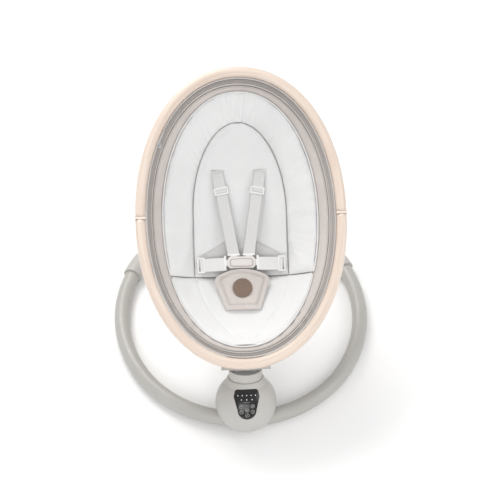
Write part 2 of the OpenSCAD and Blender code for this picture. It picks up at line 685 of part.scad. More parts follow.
// A flat strap from p to q (x and t), lifted above the cushion by lift0 and lift1 at its ends and bow between
module web(p, q, w, lift0, lift1, bow) {
  d = (q - p) / norm(q - p);
  o = [d[1], -d[0]] * w / 2;
  steps = 16;
  function mid(f) = p + (q - p) * f;
  function up(f) = pad_top(mid(f)[0], mid(f)[1]) + lift0 + (lift1 - lift0) * f + bow * sin(180 * f);
  loft([for (i = [0:steps]) let (f = i / steps, c = mid(f), z = up(f))
    [concat(c - o, z), concat(c + o, z), concat(c + o, z + web_t), concat(c - o, z + web_t)]]);
}
module shoulder_strap(s) {
  color(web_grey) at_seat() on_side(s) web(slot, strap_end, web_w, slot_lift, strap_lift, strap_bow);
}
adjuster_f = 0.24;                             // share of the way down the strap where its adjuster sits
module strap_adjusters() {
  c = slot + (strap_end - slot) * adjuster_f;
  lift = slot_lift + (strap_lift - slot_lift) * adjuster_f + strap_bow * sin(180 * adjuster_f);
  z = pad_top(c[0], c[1]) + lift;
  tip = bowl_slope(c[0], c[1]) - 6;
  color("white") at_seat() both_sides() translate([c[0], c[1], z - 1.6]) rotate([tip, 0, -9.5]) difference() {
    translate([-web_w / 2 - 3, -8, 0]) cube([web_w + 6, 16, 5]);
    translate([-web_w / 2 - 0.6, -9, 0.9]) cube([web_w + 1.2, 18, 3.4]);
    for (y = [-4.6, 1]) translate([-web_w / 2 - 0.6, y, 2]) cube([web_w + 1.2, 3.6, 5]);
  }
}
waist_out = [88, buckle_t - 4];
waist_in = [34, buckle_t - 3];
module waist_strap(s) {
  color(web_grey) at_seat() on_side(s) {
    web(waist_out, waist_in, web_w, 8, 19, 2);
    web([46, buckle_t + 18], waist_out + [-2, 2], web_w + 6, 1.8, 2.8, 0.5);
  }
}
module waist_adjusters() {
  x = waist_out[0] + 4;
  t = waist_out[1];
  z = pad_top(x, t) + 5;
  color("white") at_seat() both_sides() translate([x, t, z]) rotate([0, -bowl_tilt(x, t), 0]) difference() {
    translate([-2, -web_w / 2 - 3, 0]) cube([10, web_w + 6, 9]);
    translate([-3, -web_w / 2 - 0.8, 1]) cube([8, web_w + 1.6, 7]);
  }
}
crotch_from = buckle_t - 15;
crotch_l = 90;                                 // length of the crotch pad
crotch_th = 9;
crotch_arch = 12;                              // how far the sides of its top edge fall below the middle
// Half-width of the crotch pad at share f of its length
function crotch_hw(f) = 49 + 10.5 * sin(min(90, 450 * f)) - 27.5 * max(0, f - 0.2);
// Height of its underside
function crotch_n(x, t, f) = bowl_n(x / 3, t) + pad_gap + leg_pad + 3.5 + (pad_lift - 3) * pow(1 - f, 1.4);
// Point of its underside at share f of the length and w of the half-width
function crotch_pt(f, w) =
  let (x = crotch_hw(f) * w, t = crotch_from - crotch_l * f)
  [x, t - crotch_arch * w * w * pow(1 - f, 2), crotch_n(x, t, f)];
module crotch_pad() {
  steps = 14;
  k = 8;
  color(fabric_grey) at_seat() loft([for (i = [0:steps]) let (f = i / steps)
    concat([for (j = [k:-1:0]) crotch_pt(f, 2 * j / k - 1)],
      [for (j = [0:k]) let (w = 2 * j / k - 1)
        crotch_pt(f, w) + [0, 0, crotch_th * pow(cos(84 * w), 0.35)]])]);
}
badge_f = 0.47;                                // where the badge sits along the crotch pad
module crotch_badge() {
  t = crotch_from - crotch_l * badge_f;
  z = crotch_n(0, t, badge_f) + crotch_th + 1.4;
  color([0.62, 0.50, 0.44]) at_seat() translate([0, t, z]) rotate([bowl_slope(0, t) + 10, 0, 0])
    cylinder(r = 21.5, h = 1.2);
}
module at_buckle() {
  at_seat() translate([0, buckle_t, pad_top(0, buckle_t) + pad_lift]) children();
}
module buckle_body() {
  color([0.86, 0.84, 0.82]) at_buckle() difference() {
    translate([-30, -13, -5]) cube([60, 26, 12]);
    translate([-16, -9, 3]) cube([32, 16, 8]);
    for (s = SIDES) translate([s * 27 - 6, -7, -1]) cube([12, 14, 4]);
    for (s = SIDES) translate([s * 16.5 - 8, 6, -1]) cube([16, 12, 4]);
  }
}
module buckle_tongues() {
  color("white") at_buckle() both_sides() {
    translate([21.4, -6.8, -0.8]) cube([12, 13.6, 3.6]);
    translate([8.7, 6.2, -0.8]) cube([15.6, 9.5, 3.6]);
  }
}
module buckle_button() {
  color([0.80, 0.78, 0.76]) at_buckle() translate([-15.7, -8.7, 4.6]) cube([31.4, 15.4, 3.6]);
}

base_tube(-1);  // base_tube_left
base_tube(1);  // base_tube_right
rear_tube();
corner(-1);  // corner_left
corner(1);  // corner_right
sleeve(-1);  // sleeve_left
sleeve(1);  // sleeve_right
rear_pads();
front_pad();
pod_lower_shell();
pod_upper_shell();
pod_screws();
panel_fascia();
indicator_lights();
control_board();
speaker();
bearing_carrier();
swing_bearings();
drive_coil();
power_jack();
push_button(0);  // button_power
push_button(1);  // button_sway
push_button(2);  // button_timer
push_button(3);  // button_music
push_button(4);  // button_volume
push_button(5);  // button_sound
swing_shaft();
shaft_nut();
magnet_lever();
drive_magnet();
arm_core();
arm_shell(-1);  // arm_front_shell
arm_shell(1);  // arm_back_shell
hinge_pin();
release_button(-1);  // release_button_left
release_button(1);  // release_button_right
seat_bracket();
bracket_screws();
rim_lower();
rim_upper();
rim_joint_bands();
rim_joint_pins();
seat_shell();
zip_tape();
zip_slider();
inlay_rim_cushion();
inlay_panel();
leg_panel();
shoulder_strap(-1);  // shoulder_strap_left
shoulder_strap(1);  // shoulder_strap_right
strap_adjusters();
waist_strap(-1);  // waist_strap_left
waist_strap(1);  // waist_strap_right
waist_adjusters();
crotch_pad();
crotch_badge();
buckle_body();
buckle_tongues();
buckle_button();
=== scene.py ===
"""The looks of the baby swing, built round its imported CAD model.

Row frame, in metres: +X across, +Y to the head end, +Z up. Seat pieces are laid out in the seat's own
frame, in millimetres: x across, t along the rim's plane towards the head, n square to that plane, upwards.
"""
import json
import math

import bmesh
import bpy
from mathutils import Matrix, Vector, noise


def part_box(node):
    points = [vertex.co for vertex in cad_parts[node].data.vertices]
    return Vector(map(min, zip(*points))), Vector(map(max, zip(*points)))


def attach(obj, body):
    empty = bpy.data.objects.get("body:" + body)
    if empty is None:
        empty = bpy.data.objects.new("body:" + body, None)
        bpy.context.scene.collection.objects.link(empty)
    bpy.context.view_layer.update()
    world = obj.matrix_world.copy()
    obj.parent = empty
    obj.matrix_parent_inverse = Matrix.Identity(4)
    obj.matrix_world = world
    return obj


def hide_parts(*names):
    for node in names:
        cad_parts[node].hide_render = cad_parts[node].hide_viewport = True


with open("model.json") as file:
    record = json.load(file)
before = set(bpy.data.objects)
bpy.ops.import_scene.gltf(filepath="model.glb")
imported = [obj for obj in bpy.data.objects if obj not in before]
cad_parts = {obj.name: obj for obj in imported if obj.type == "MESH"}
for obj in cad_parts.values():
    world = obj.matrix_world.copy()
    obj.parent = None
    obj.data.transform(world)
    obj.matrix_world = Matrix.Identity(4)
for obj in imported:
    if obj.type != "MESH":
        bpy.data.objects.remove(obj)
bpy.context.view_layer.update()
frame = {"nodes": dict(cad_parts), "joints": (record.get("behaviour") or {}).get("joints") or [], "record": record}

# ---- sizes ----
MM = 0.001
RECLINE = math.radians(33)
COS_R, SIN_R = math.cos(RECLINE), math.sin(RECLINE)
SEAT_UP = Vector((0, -SIN_R, COS_R))

RAIL_W, RAIL_H, RAIL_ROUND = 23, 34, 2.6
SEAT_W, SEAT_L = 450, 650
RIM_HW, RIM_HL = (SEAT_W - RAIL_W) / 2, (SEAT_L - RAIL_W) / 2
OVAL_M = 2.1
BOWL_HW, BOWL_HL = SEAT_W / 2 - RAIL_W - 0.5, SEAT_L / 2 - RAIL_W - 0.5
BOWL_TOP, BACK_DEPTH, SEAT_DIP = 8, 95, 25
INLAY_HW, INLAY_HL, INLAY_END = 167, 275, -117
PANEL_HW, PANEL_TOP, ARCH_MID = 103, 218, 20
PAD_GAP, RIM_PAD, MID_PAD, LEG_PAD = 2, 15, 7, 8
BUCKLE_T = -88
BUCKLE_LIFT = 19
WEB_W, WEB_T = 25, 1.8
SLOT = (47, 113)


def rim_centre():
    """The middle of the seat rim, in the row frame."""
    boxes = [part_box(n) for n in ("rim_lower", "rim_upper")]
    low = [min(b[0][k] for b in boxes) for k in range(3)]
    high = [max(b[1][k] for b in boxes) for k in range(3)]
    return Vector([(low[k] + high[k]) / 2 for k in range(3)])


SEAT_C = rim_centre()


def to_row(x, t, n):
    """A place in the seat's frame, in mm, as a place in the row frame, in metres."""
    return Vector((x * MM, SEAT_C.y + (t * COS_R - n * SIN_R) * MM, SEAT_C.z + (t * SIN_R + n * COS_R) * MM))


def to_seat(p):
    """A place in the row frame, in metres, as (x, t, n) in the seat's frame, in mm."""
    y, z = p[1] - SEAT_C.y, p[2] - SEAT_C.z
    return p[0] / MM, (y * COS_R + z * SIN_R) / MM, (z * COS_R - y * SIN_R) / MM


# ---- the seat's curves ----
def signed_pow(v, p):
    return math.copysign(abs(v) ** p, v)


def oval(a, b, deg, m=OVAL_M):
    """A point of the superellipse with half-axes a and b."""
    c, s = math.cos(math.radians(deg)), math.sin(math.radians(deg))
    return a * signed_pow(c, 2 / m), b * signed_pow(s, 2 / m)


def bowl_n(x, t):
    """Height of the bowl's inner face."""
    depth = BACK_DEPTH + SEAT_DIP * math.exp(-(((t + 85) / 110) ** 2))
    r = min(1.0, ((abs(x) / BOWL_HW) ** OVAL_M + (abs(t) / BOWL_HL) ** OVAL_M) ** (1 / OVAL_M))
    return BOWL_TOP - (depth + BOWL_TOP) * (1 - r**4)


def inlay_edge(deg):
    return oval(INLAY_HW, INLAY_HL, deg)


INLAY_LOW = math.degrees(math.asin((abs(INLAY_END) / INLAY_HL) ** (OVAL_M / 2)))


def arch(deg):
    """The edge of the middle panel, at the same angle as inlay_edge."""
    if 0 <= deg <= 180:
        a = math.radians(deg)
        return PANEL_HW * math.cos(a), ARCH_MID + (PANEL_TOP - ARCH_MID) * math.sin(a)
    below = deg if deg < 0 else 180 - deg
    side = PANEL_HW if deg < 0 else -PANEL_HW
    return side, ARCH_MID + below * (ARCH_MID - INLAY_END) / INLAY_LOW


def arch_hw(t):
    """Half-width of the middle panel at t."""
    if t <= ARCH_MID:
        return PANEL_HW
    return PANEL_HW * math.sqrt(max(0.0, 1 - ((t - ARCH_MID) / (PANEL_TOP - ARCH_MID)) ** 2))


def oval_hw(a, b, t, m=OVAL_M):
    return a * max(0.0, 1 - (abs(t) / b) ** m) ** (1 / m)


def panel_top_n(x, t):
    """Height of the middle panel's top."""
    return bowl_n(x, t) + PAD_GAP + MID_PAD


# ---- mesh helpers ----
def new_object(name, verts, faces, mat, smooth=True):
    mesh = bpy.data.meshes.new(name)
    mesh.from_pydata([tuple(v) for v in verts], [], faces)
    mesh.update()
    bm = bmesh.new()
    bm.from_mesh(mesh)
    bmesh.ops.recalc_face_normals(bm, faces=bm.faces)
    bm.to_mesh(mesh)
    bm.free()
    for p in mesh.polygons:
        p.use_smooth = smooth
    obj = bpy.data.objects.new(name, mesh)
    bpy.context.scene.collection.objects.link(obj)
    mesh.materials.append(mat)
    return obj


def grid_faces(rows, cols, wrap_rows=False, wrap_cols=False, first=0):
    faces = []
    for i in range(rows if wrap_rows else rows - 1):
        for j in range(cols if wrap_cols else cols - 1):
            i2, j2 = (i + 1) % rows, (j + 1) % cols
            here, ahead = first + i * cols, first + i2 * cols
            faces.append((here + j, here + j2, ahead + j2, ahead + j))
    return faces


def loft(name, rings, mat, closed=False):
    """A closed skin over rings of points. The two ends are capped unless the last ring joins the first."""
    k = len(rings[0])
    verts = [p for ring in rings for p in ring]
    faces = grid_faces(len(rings), k, wrap_rows=closed, wrap_cols=True)
    if not closed:
        faces.append(tuple(range(k)))
        faces.append(tuple(range((len(rings) - 1) * k, len(rings) * k)))
    return new_object(name, verts, faces, mat)


def join(name, objs):
    """Joins mesh objects into one."""
    bm = bmesh.new()
    mats = []
    for o in objs:
        start = len(bm.faces)
        bm.from_mesh(o.data)
        bm.faces.ensure_lookup_table()
        m = o.data.materials[0]
        if m not in mats:
            mats.append(m)
        for f in bm.faces[start:]:
            f.material_index = mats.index(m)
    mesh = bpy.data.meshes.new(name)
    bm.to_mesh(mesh)
    bm.free()
    for m in mats:
        mesh.materials.append(m)
    for o in objs:
        bpy.data.objects.remove(o, do_unlink=True)
    obj = bpy.data.objects.new(name, mesh)
    bpy.context.scene.collection.objects.link(obj)
    return obj


def tube(name, path, radius, mat, closed=False, sides=10):
    """A round cord along a path of row-frame points."""
    rings = []
    count = len(path)
    for i, p in enumerate(path):
        a = path[(i - 1) % count] if closed or i else path[0]
        b = path[(i + 1) % count] if closed or i < count - 1 else path[-1]
        ahead = (Vector(b) - Vector(a)).normalized()
        side = ahead.cross(SEAT_UP)
        side = side.normalized() if side.length > 1e-6 else Vector((1, 0, 0))
        up = side.cross(ahead).normalized()
        rings.append([Vector(p) + (side * math.cos(q) + up * math.sin(q)) * radius
                      for q in (2 * math.pi * j / sides for j in range(sides))])
    return loft(name, rings, mat, closed)


def rounded_block(name, centre, half, mat, corner, edge, axes=to_row, crown=0.0):
    """A block with round corners and edges. Lengths are in mm in the seat's frame, or in the frame of axes,
    a function from (x, y, z) in mm to the row frame. crown swells its top."""
    a, b, h = half
    steps = 5
    profile = []
    for i in range(steps + 1):
        q = math.pi / 2 * i / steps
        profile.append((edge * (1 - math.sin(q)), -h + edge * (1 - math.cos(q))))
    profile += [(d, -z) for d, z in reversed(profile)]

    def outline(inset):
        points = []
        r = max(0.3, corner - inset)
        for sx, sy, q0 in ((1, 1, 0), (-1, 1, 90), (-1, -1, 180), (1, -1, 270)):
            for i in range(7):
                q = math.radians(q0 + 15 * i)
                points.append((sx * (a - inset - r) + r * math.cos(q),
                               sy * (b - inset - r) + r * math.sin(q)))
        return points

    def spot(x, y, z):
        z += crown * max(0.0, 1 - (x / a) ** 2) * max(0.0, 1 - (y / b) ** 2) if z > 0 else 0
        v = Vector((x, y, z))
        return axes(centre[0] + v.x, centre[1] + v.y, centre[2] + v.z)

    rings = [[spot(x, y, z) for x, y in outline(d)] for d, z in profile]
    inner = [0.66, 0.33]
    top_d, top_z = profile[-1]
    rings += [[spot(x * s, y * s, top_z) for x, y in outline(top_d)] for s in inner]
    return loft(name, rings, mat)


def smooth_shade(obj, angle=40):
    """Smooth shading that keeps edges sharper than angle, in degrees."""
    for p in obj.data.polygons:
        p.use_smooth = True
    bm = bmesh.new()
    bm.from_mesh(obj.data)
    for e in bm.edges:
        if len(e.link_faces) == 2 and e.calc_face_angle(0) > math.radians(angle):
            e.smooth = False
    bm.to_mesh(obj.data)
    bm.free()


def stitches(name, path, mat, dash=3.2, gap=1.6, radius=0.42):
    """A run of sewn stitches along a path of row-frame points."""
    verts, faces = [], []
    lengths = [0.0]
    for a, b in zip(path, path[1:]):
        lengths.append(lengths[-1] + (Vector(b) - Vector(a)).length)

    def at(d):
        lo = 0
        while lo < len(lengths) - 2 and lengths[lo + 1] < d:
            lo += 1
        span = max(1e-9, lengths[lo + 1] - lengths[lo])
        return Vector(path[lo]).lerp(Vector(path[lo + 1]), (d - lengths[lo]) / span)

    pitch = (dash + gap) * MM
    n = int(lengths[-1] / pitch)
    for i in range(n):
        a, b = at(i * pitch), at(i * pitch + dash * MM)
        ahead = (b - a).normalized()
        side = ahead.cross(SEAT_UP).normalized()
        up = side.cross(ahead)
        first = len(verts)
        for f, r in ((0, 0.35), (0.2, 1), (0.8, 1), (1, 0.35)):
            c = a.lerp(b, f) - up * (1 - math.sin(math.pi * f)) * 0.2 * MM
            for j in range(6):
                q = math.pi / 3 * j
                verts.append(c + (side * math.cos(q) + up * math.sin(q)) * radius * r * MM)
        faces += grid_faces(4, 6, wrap_cols=True, first=first)
        faces.append(tuple(first + j for j in range(6)))
        faces.append(tuple(first + 18 + j for j in range(6)))
    return new_object(name, verts, faces, mat)


# ---- materials ----
class Shader:
    """A material's node tree, with short calls for the nodes used here."""

    def __init__(self, name, color, rough=0.5, metal=0.0, spec=0.5, sheen=0.0, coat=0.0, coat_rough=0.1):
        self.mat = bpy.data.materials.new(name)
        self.mat.use_nodes = True
        self.tree = self.mat.node_tree
        self.bsdf = self.tree.nodes["Principled BSDF"]
        for socket, value in {"Base Color": (*color, 1), "Roughness": rough, "Metallic": metal,
                              "Specular IOR Level": spec, "Sheen Weight": sheen, "Coat Weight": coat,
                              "Coat Roughness": coat_rough}.items():
            self.bsdf.inputs[socket].default_value = value
        self.height = None

    def node(self, kind, **values):
        n = self.tree.nodes.new(kind)
        for k, v in values.items():
            if k in n.inputs:
                n.inputs[k].default_value = v
            else:
                setattr(n, k, v)
        return n

    def link(self, a, b):
        self.tree.links.new(a, b)

    def coords(self, scale=(1, 1, 1), turn=(0, 0, 0), uv=None):
        """Object coordinates, or those of a UV layer, turned and scaled."""
        if uv:
            source = self.node("ShaderNodeUVMap", uv_map=uv).outputs["UV"]
        else:
            source = self.node("ShaderNodeTexCoord").outputs["Object"]
        m = self.node("ShaderNodeMapping", Scale=scale, Rotation=turn)
        self.link(source, m.inputs["Vector"])
        return m.outputs["Vector"]

    def noise(self, vector, scale, detail=4.0, rough=0.55, distortion=0.0):
        n = self.node("ShaderNodeTexNoise", Scale=scale, Detail=detail, Roughness=rough,
                      Distortion=distortion)
        self.link(vector, n.inputs["Vector"])
        return n.outputs["Fac"]

    def wave(self, vector, scale, direction="X", distortion=0.0, detail=2.0):
        n = self.node("ShaderNodeTexWave", bands_direction=direction, Scale=scale, Distortion=distortion,
                      Detail=detail)
        self.link(vector, n.inputs["Vector"])
        return n.outputs["Fac"]

    def math(self, op, a, b=0.0):
        n = self.node("ShaderNodeMath", operation=op)
        for socket, v in zip(n.inputs, (a, b)):
            if isinstance(v, (int, float)):
                socket.default_value = v
            else:
                self.link(v, socket)
        return n.outputs[0]

    def ramp(self, fac, stops):
        n = self.node("ShaderNodeValToRGB")
        e = n.color_ramp.elements
        while len(e) < len(stops):
            e.new(0.5)
        for el, (pos, col) in zip(e, stops):
            el.position = pos
            el.color = (*col, 1)
        self.link(fac, n.inputs["Fac"])
        return n.outputs["Color"]

    def tint(self, fac, low, high):
        """Base colour that runs from low to high as fac goes from 0.3 to 0.7."""
        self.link(self.ramp(fac, [(0.3, low), (0.7, high)]), self.bsdf.inputs["Base Color"])

    def gloss(self, fac, low, high):
        """Roughness that runs from low to high."""
        self.link(self.ramp(fac, [(0.3, (low,) * 3), (0.7, (high,) * 3)]), self.bsdf.inputs["Roughness"])

    def bump(self, height, distance, strength=1.0):
        """Adds a height to the normal, in metres."""
        n = self.node("ShaderNodeBump", Distance=distance, Strength=strength)
        self.link(height, n.inputs["Height"])
        if self.height:
            self.link(self.height, n.inputs["Normal"])
        self.height = n.outputs["Normal"]
        self.link(self.height, self.bsdf.inputs["Normal"])


def shade(color, f):
    return tuple(min(1.0, c * f) for c in color)


def moulded_plastic(name, color, rough=0.42, grain=0.00006):
    """Fine spark-eroded texture with a little unevenness in gloss."""
    s = Shader(name, color, rough, spec=0.45)
    v = s.coords()
    s.tint(s.noise(v, 9, 3), shade(color, 0.97), shade(color, 1.03))
    s.gloss(s.noise(v, 60, 4), rough - 0.05, rough + 0.08)
    s.bump(s.noise(v, 1400, 2), grain)
    return s.mat


def powder_coat(name, color):
    s = Shader(name, color, 0.38, spec=0.5)
    v = s.coords()
    s.tint(s.noise(v, 14, 3), shade(color, 0.97), shade(color, 1.02))
    s.gloss(s.noise(v, 90, 3), 0.32, 0.46)
    s.bump(s.noise(v, 650, 3), 0.00008)
    return s.mat


def metal(name, color, rough=0.28):
    s = Shader(name, color, rough, metal=1.0)
    v = s.coords(scale=(1, 30, 30))
    s.tint(s.noise(v, 40, 3), shade(color, 0.9), shade(color, 1.05))
    s.gloss(s.noise(v, 120, 4), rough - 0.08, rough + 0.1)
    s.bump(s.noise(v, 300, 3), 0.00003)
    return s.mat


def cloth(name, color, spread=0.07, pitch=1.3, weave=0.00022, fuzz=0.35, melange=0.5, rough=0.9):
    """Plain woven or knitted cloth: threads both ways, melange colour, and soft creases."""
    s = Shader(name, color, rough, spec=0.25, sheen=fuzz)
    v = s.coords(turn=(-RECLINE, 0, 0))
    scale = 314 / pitch
    across = s.wave(v, scale, "X", 0.6, 1)
    along = s.wave(v, scale, "Y", 0.6, 1)
    threads = s.math("MAXIMUM", across, along)
    flecks = s.noise(v, 900, 3, 0.7)
    cloud = s.noise(v, 22, 4)
    mix = s.math("ADD", s.math("MULTIPLY", flecks, melange), s.math("MULTIPLY", cloud, 1 - melange))
    s.tint(mix, shade(color, 1 - spread), shade(color, 1 + spread))
    s.gloss(cloud, rough - 0.06, min(1.0, rough + 0.06))
    s.bump(s.noise(v, 38, 5, 0.6), 0.0016, 0.5)
    s.bump(threads, weave, 0.8)
    s.bump(flecks, weave * 0.6, 0.6)
    return s.mat


def webbing(name, color, uv="web"):
    """Narrow woven tape: ribs across it, and a herringbone that runs along it."""
    s = Shader(name, color, 0.75, spec=0.3, sheen=0.2)
    v = s.coords(uv=uv)
    ribs = s.wave(v, 240, "X", 0.4, 1)
    herring = s.wave(s.coords(uv=uv, turn=(0, 0, math.radians(38))), 150, "X", 0.3, 1)
    both = s.math("ADD", s.math("MULTIPLY", ribs, 0.6), s.math("MULTIPLY", herring, 0.4))
    s.tint(both, shade(color, 0.90), shade(color, 1.05))
    s.gloss(both, 0.68, 0.85)
    s.bump(both, 0.00025)
    return s.mat


def wood(name, light, dark):
    """Pale grain along the rim: long streaks, fine pores and a satin lacquer."""
    s = Shader(name, light, 0.36, spec=0.5, coat=0.25, coat_rough=0.25)
    broad = s.noise(s.coords(uv="grain", scale=(1.6, 60, 1)), 3, 5, 0.6, 0.6)
    streak = s.noise(s.coords(uv="grain", scale=(7, 420, 1)), 2, 4, 0.65, 0.2)
    pores = s.noise(s.coords(uv="grain", scale=(40, 1500, 1)), 1, 2, 0.5)
    mix = s.math("ADD", s.math("MULTIPLY", broad, 0.55), s.math("MULTIPLY", streak, 0.45))
    mid = tuple((a + b) / 2 for a, b in zip(light, dark))
    color = s.ramp(mix, [(0.30, dark), (0.45, mid), (0.56, light), (0.75, shade(light, 1.06))])
    s.link(color, s.bsdf.inputs["Base Color"])
    s.gloss(streak, 0.30, 0.44)
    s.bump(pores, 0.00008)
    s.bump(streak, 0.00012)
    return s.mat


WARM_GREY = (0.475, 0.462, 0.440)
WHITE = (0.77, 0.77, 0.77)
GREY = (0.60, 0.55, 0.52)
MATS = {
    "floor_tube": powder_coat("tube_coat", (0.43, 0.42, 0.395)),
    "grey_plastic": moulded_plastic("shell_plastic", WARM_GREY),
    "rubber": moulded_plastic("black_rubber", (0.045, 0.045, 0.047), 0.7, 0.0001),
    "panel_black": moulded_plastic("panel_gloss", (0.012, 0.012, 0.012), 0.18, 0.00001),
    "key_black": moulded_plastic("key_satin", (0.028, 0.028, 0.028), 0.4, 0.00003),
    "light_pipe": moulded_plastic("light_pipe", (0.75, 0.75, 0.73), 0.3, 0.00001),
    "board_green": moulded_plastic("solder_mask", (0.02, 0.12, 0.05), 0.3),
    "steel": metal("turned_steel", (0.56, 0.57, 0.58)),
    "copper": metal("winding", (0.72, 0.38, 0.2), 0.35),
    "alloy": metal("cast_alloy", (0.55, 0.56, 0.57), 0.45),
    "wood_rim": wood("rim_wood", (0.76, 0.655, 0.57), (0.62, 0.48, 0.39)),
    "rim_band": moulded_plastic("band_plastic", (0.80, 0.70, 0.62), 0.35),
    "grey_fabric": cloth("bowl_cloth", GREY, 0.10),
    "grey_tape": cloth("tape_cloth", (0.40, 0.365, 0.35), 0.08, 0.9),
    "white_fabric": cloth("inlay_knit", WHITE, 0.025, 1.1, 0.00018, 0.3, 0.3),
    "webbing": webbing("strap_webbing", (0.66, 0.66, 0.65)),
    "white_plastic": moulded_plastic("white_plastic", (0.80, 0.80, 0.79), 0.35, 0.00003),
    "buckle_grey": moulded_plastic("buckle_plastic", (0.70, 0.66, 0.64), 0.36, 0.00004),
    "badge": cloth("badge_felt", (0.21, 0.145, 0.11), 0.12, 1.6, 0.0003, 0.5),
}
# Painted shade: a near-black cloth laid where there is only shade, in the buckle's groove and in the openings of
# the strap slits.
PAINTED_SHADE_CLOTH = cloth("seam_shadow", (0.20, 0.18, 0.17), 0.05, 0.8)
PIPING_LIGHT = cloth("piping_light", (0.60, 0.57, 0.545), 0.06, 0.8)
PIPING_DARK = cloth("piping_dark", (0.27, 0.24, 0.225), 0.06, 0.8)
THREAD_WHITE = cloth("thread_white", (0.74, 0.74, 0.74), 0.03, 0.6)
THREAD_GREY = cloth("thread_grey", (0.34, 0.31, 0.29), 0.04, 0.6)
FLAP_GREY = cloth("flap_cloth", (0.60, 0.59, 0.58), 0.04, 1.0)
WAIST_WHITE = webbing("waist_webbing", (0.75, 0.75, 0.74))
ZIP_TEETH = moulded_plastic("zip_teeth", (0.33, 0.30, 0.285), 0.35)
PRINT = moulded_plastic("print_ink", (0.62, 0.62, 0.60), 0.5, 0.00001)

SLOTS = {p["node"]: p["material_slot"] for p in frame["record"]["subparts"]}
for node, obj in frame["nodes"].items():
    obj.data.materials.clear()
    obj.data.materials.append(MATS[SLOTS[node]])


def finish_piece(obj, body="seat", replaces=()):
    """What every piece says: its body and what it stands for."""
    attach(obj, body)
    if replaces:
        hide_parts(*replaces)
    return obj


# ---- camera ----
TILT = math.radians(41.12)
YAW = math.radians(2.3)
DISTANCE = 3.3075
LENS = 36 * 1350 / 480


def add_camera():
    """Looks at a point on the floor beside the pod, so that the swing stands in the frame as it should."""
    pod = Vector((0, (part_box("front_pad")[0][1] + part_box("front_pad")[1][1]) / 2, 0))
    pod_seen = Vector((0.0130, -0.51847, 0))
    turn = Matrix.Rotation(-YAW, 3, "Z")
    target = pod - turn @ pod_seen
    back = Vector((0, -math.sin(TILT), math.cos(TILT)))
    cam = bpy.data.cameras.new("camera")
    cam.lens = LENS
    cam.sensor_width = 36
    cam.clip_end = 50
    obj = bpy.data.objects.new("camera", cam)
    bpy.context.scene.collection.objects.link(obj)
    obj.location = target + turn @ back * DISTANCE
    obj.rotation_euler = (turn @ back).to_track_quat("Z", "Y").to_euler()
    bpy.context.scene.camera = obj


add_camera()


# ---- rim ----
def rim_section(deg, k=36, w=RAIL_W, h=RAIL_H):
    """Points round the rim's section, at one angle of the oval."""
    (cx, ct), (ax, at), (bx, bt) = (oval(RIM_HW, RIM_HL, d) for d in (deg, deg - 0.5, deg + 0.5))
    d = Vector((bx - ax, bt - at)).normalized()
    out = (d.y, -d.x)
    ring = []
    for j in range(k):
        s, n = oval(w / 2, h / 2, 360 * j / k, RAIL_ROUND)
        ring.append(to_row(cx + out[0] * s, ct + out[1] * s, n))
    return ring


def rim_half(name, start, node):
    steps, k = 150, 36
    off = math.degrees(2.6 / RIM_HL)
    angles = [start + off + (180 - 2 * off) * i / steps for i in range(steps + 1)]
    ends = 3
    rings = []
    for i, q in enumerate(angles):
        from_end = min(i, steps - i)
        inset = 0.5 * (1 - from_end / ends) if from_end < ends else 0
        rings.append(rim_section(q, k, RAIL_W - 2 * inset, RAIL_H - 2 * inset))
    obj = loft(name, rings, MATS["wood_rim"])
    uv = obj.data.uv_layers.new(name="grain")
    along = [0.0]
    for i in range(1, steps + 1):
        a, b = (Vector(oval(RIM_HW, RIM_HL, angles[m])) for m in (i - 1, i))
        along.append(along[-1] + (b - a).length * MM)
    around = (RAIL_W + RAIL_H) * 1.7 * MM
    for poly in obj.data.polygons:
        js = [obj.data.loops[li].vertex_index % k for li in poly.loop_indices]
        wraps = max(js) - min(js) > k / 2
        for li in poly.loop_indices:
            i, j = divmod(obj.data.loops[li].vertex_index, k)
            j = k if wraps and j == 0 else j
            uv.data[li].uv = (along[i] + start, abs(j / k - 0.5) * around)
    return finish_piece(obj, replaces=[node])


rim_half("rim_upper_wood", 0, "rim_upper")
rim_half("rim_lower_wood", 180, "rim_lower")


# ---- fabric bowl ----
def ripple(x, t, freq=1.0):
    """Smooth noise over the seat, about -1 to 1."""
    return noise.noise(Vector((x * 0.02 * freq, t * 0.02 * freq, 3.7))) * 1.6


def bowl_creases(deg, share, x, t):
    """Soft pleats where the bowl's cloth is gathered to the zip, deepest at the foot's corners."""
    corner = sum(math.exp(-(((deg - c + 180) % 360 - 180) / 17) ** 2) for c in (232, 308)) * 1.5
    near = max(0.0, min(1.0, (share - 0.72) / 0.2)) * max(0.0, min(1.0, (0.985 - share) / 0.03))
    pleats = math.sin(math.radians(deg) * 44 + 2.5 * ripple(x, t, 0.6)) * (0.35 + corner)
    return near * pleats * 1.1 + 0.8 * ripple(x, t, 0.8) * min(1.0, (1 - share) * 6)


def fabric_bowl():
    k = 320
    shares = [1, 0.993, 0.985, 0.975, 0.965, 0.95, 0.935, 0.92, 0.9, 0.88, 0.86, 0.84, 0.81, 0.78, 0.75, 0.71,
              0.67, 0.62, 0.57, 0.51, 0.45, 0.38, 0.31, 0.23, 0.15, 0.06]
    thick = 3.2
    rings = []
    for face, order in ((0, shares), (-thick, shares[::-1])):
        for s in order:
            ring = []
            for j in range(k):
                deg = 360 * j / k
                x, t = oval(BOWL_HW * s, BOWL_HL * s, deg)
                ring.append(to_row(x, t, bowl_n(x, t) - 0.4 + face + bowl_creases(deg, s, x, t) * 0.8))
            rings.append(ring)
    verts = [p for r in rings for p in r]
    n = len(shares)
    faces = grid_faces(n, k, wrap_cols=True) + grid_faces(n, k, wrap_cols=True, first=n * k)
    faces.append(tuple(range((n - 1) * k, n * k)))
    faces.append(tuple(range(n * k, (n + 1) * k)))
    last = (2 * n - 1) * k
    faces += [(j, (j + 1) % k, last + (j + 1) % k, last + j) for j in range(k)]
    obj = new_object("fabric_bowl", verts, faces, MATS["grey_fabric"])
    finish_piece(obj, replaces=["seat_shell"])


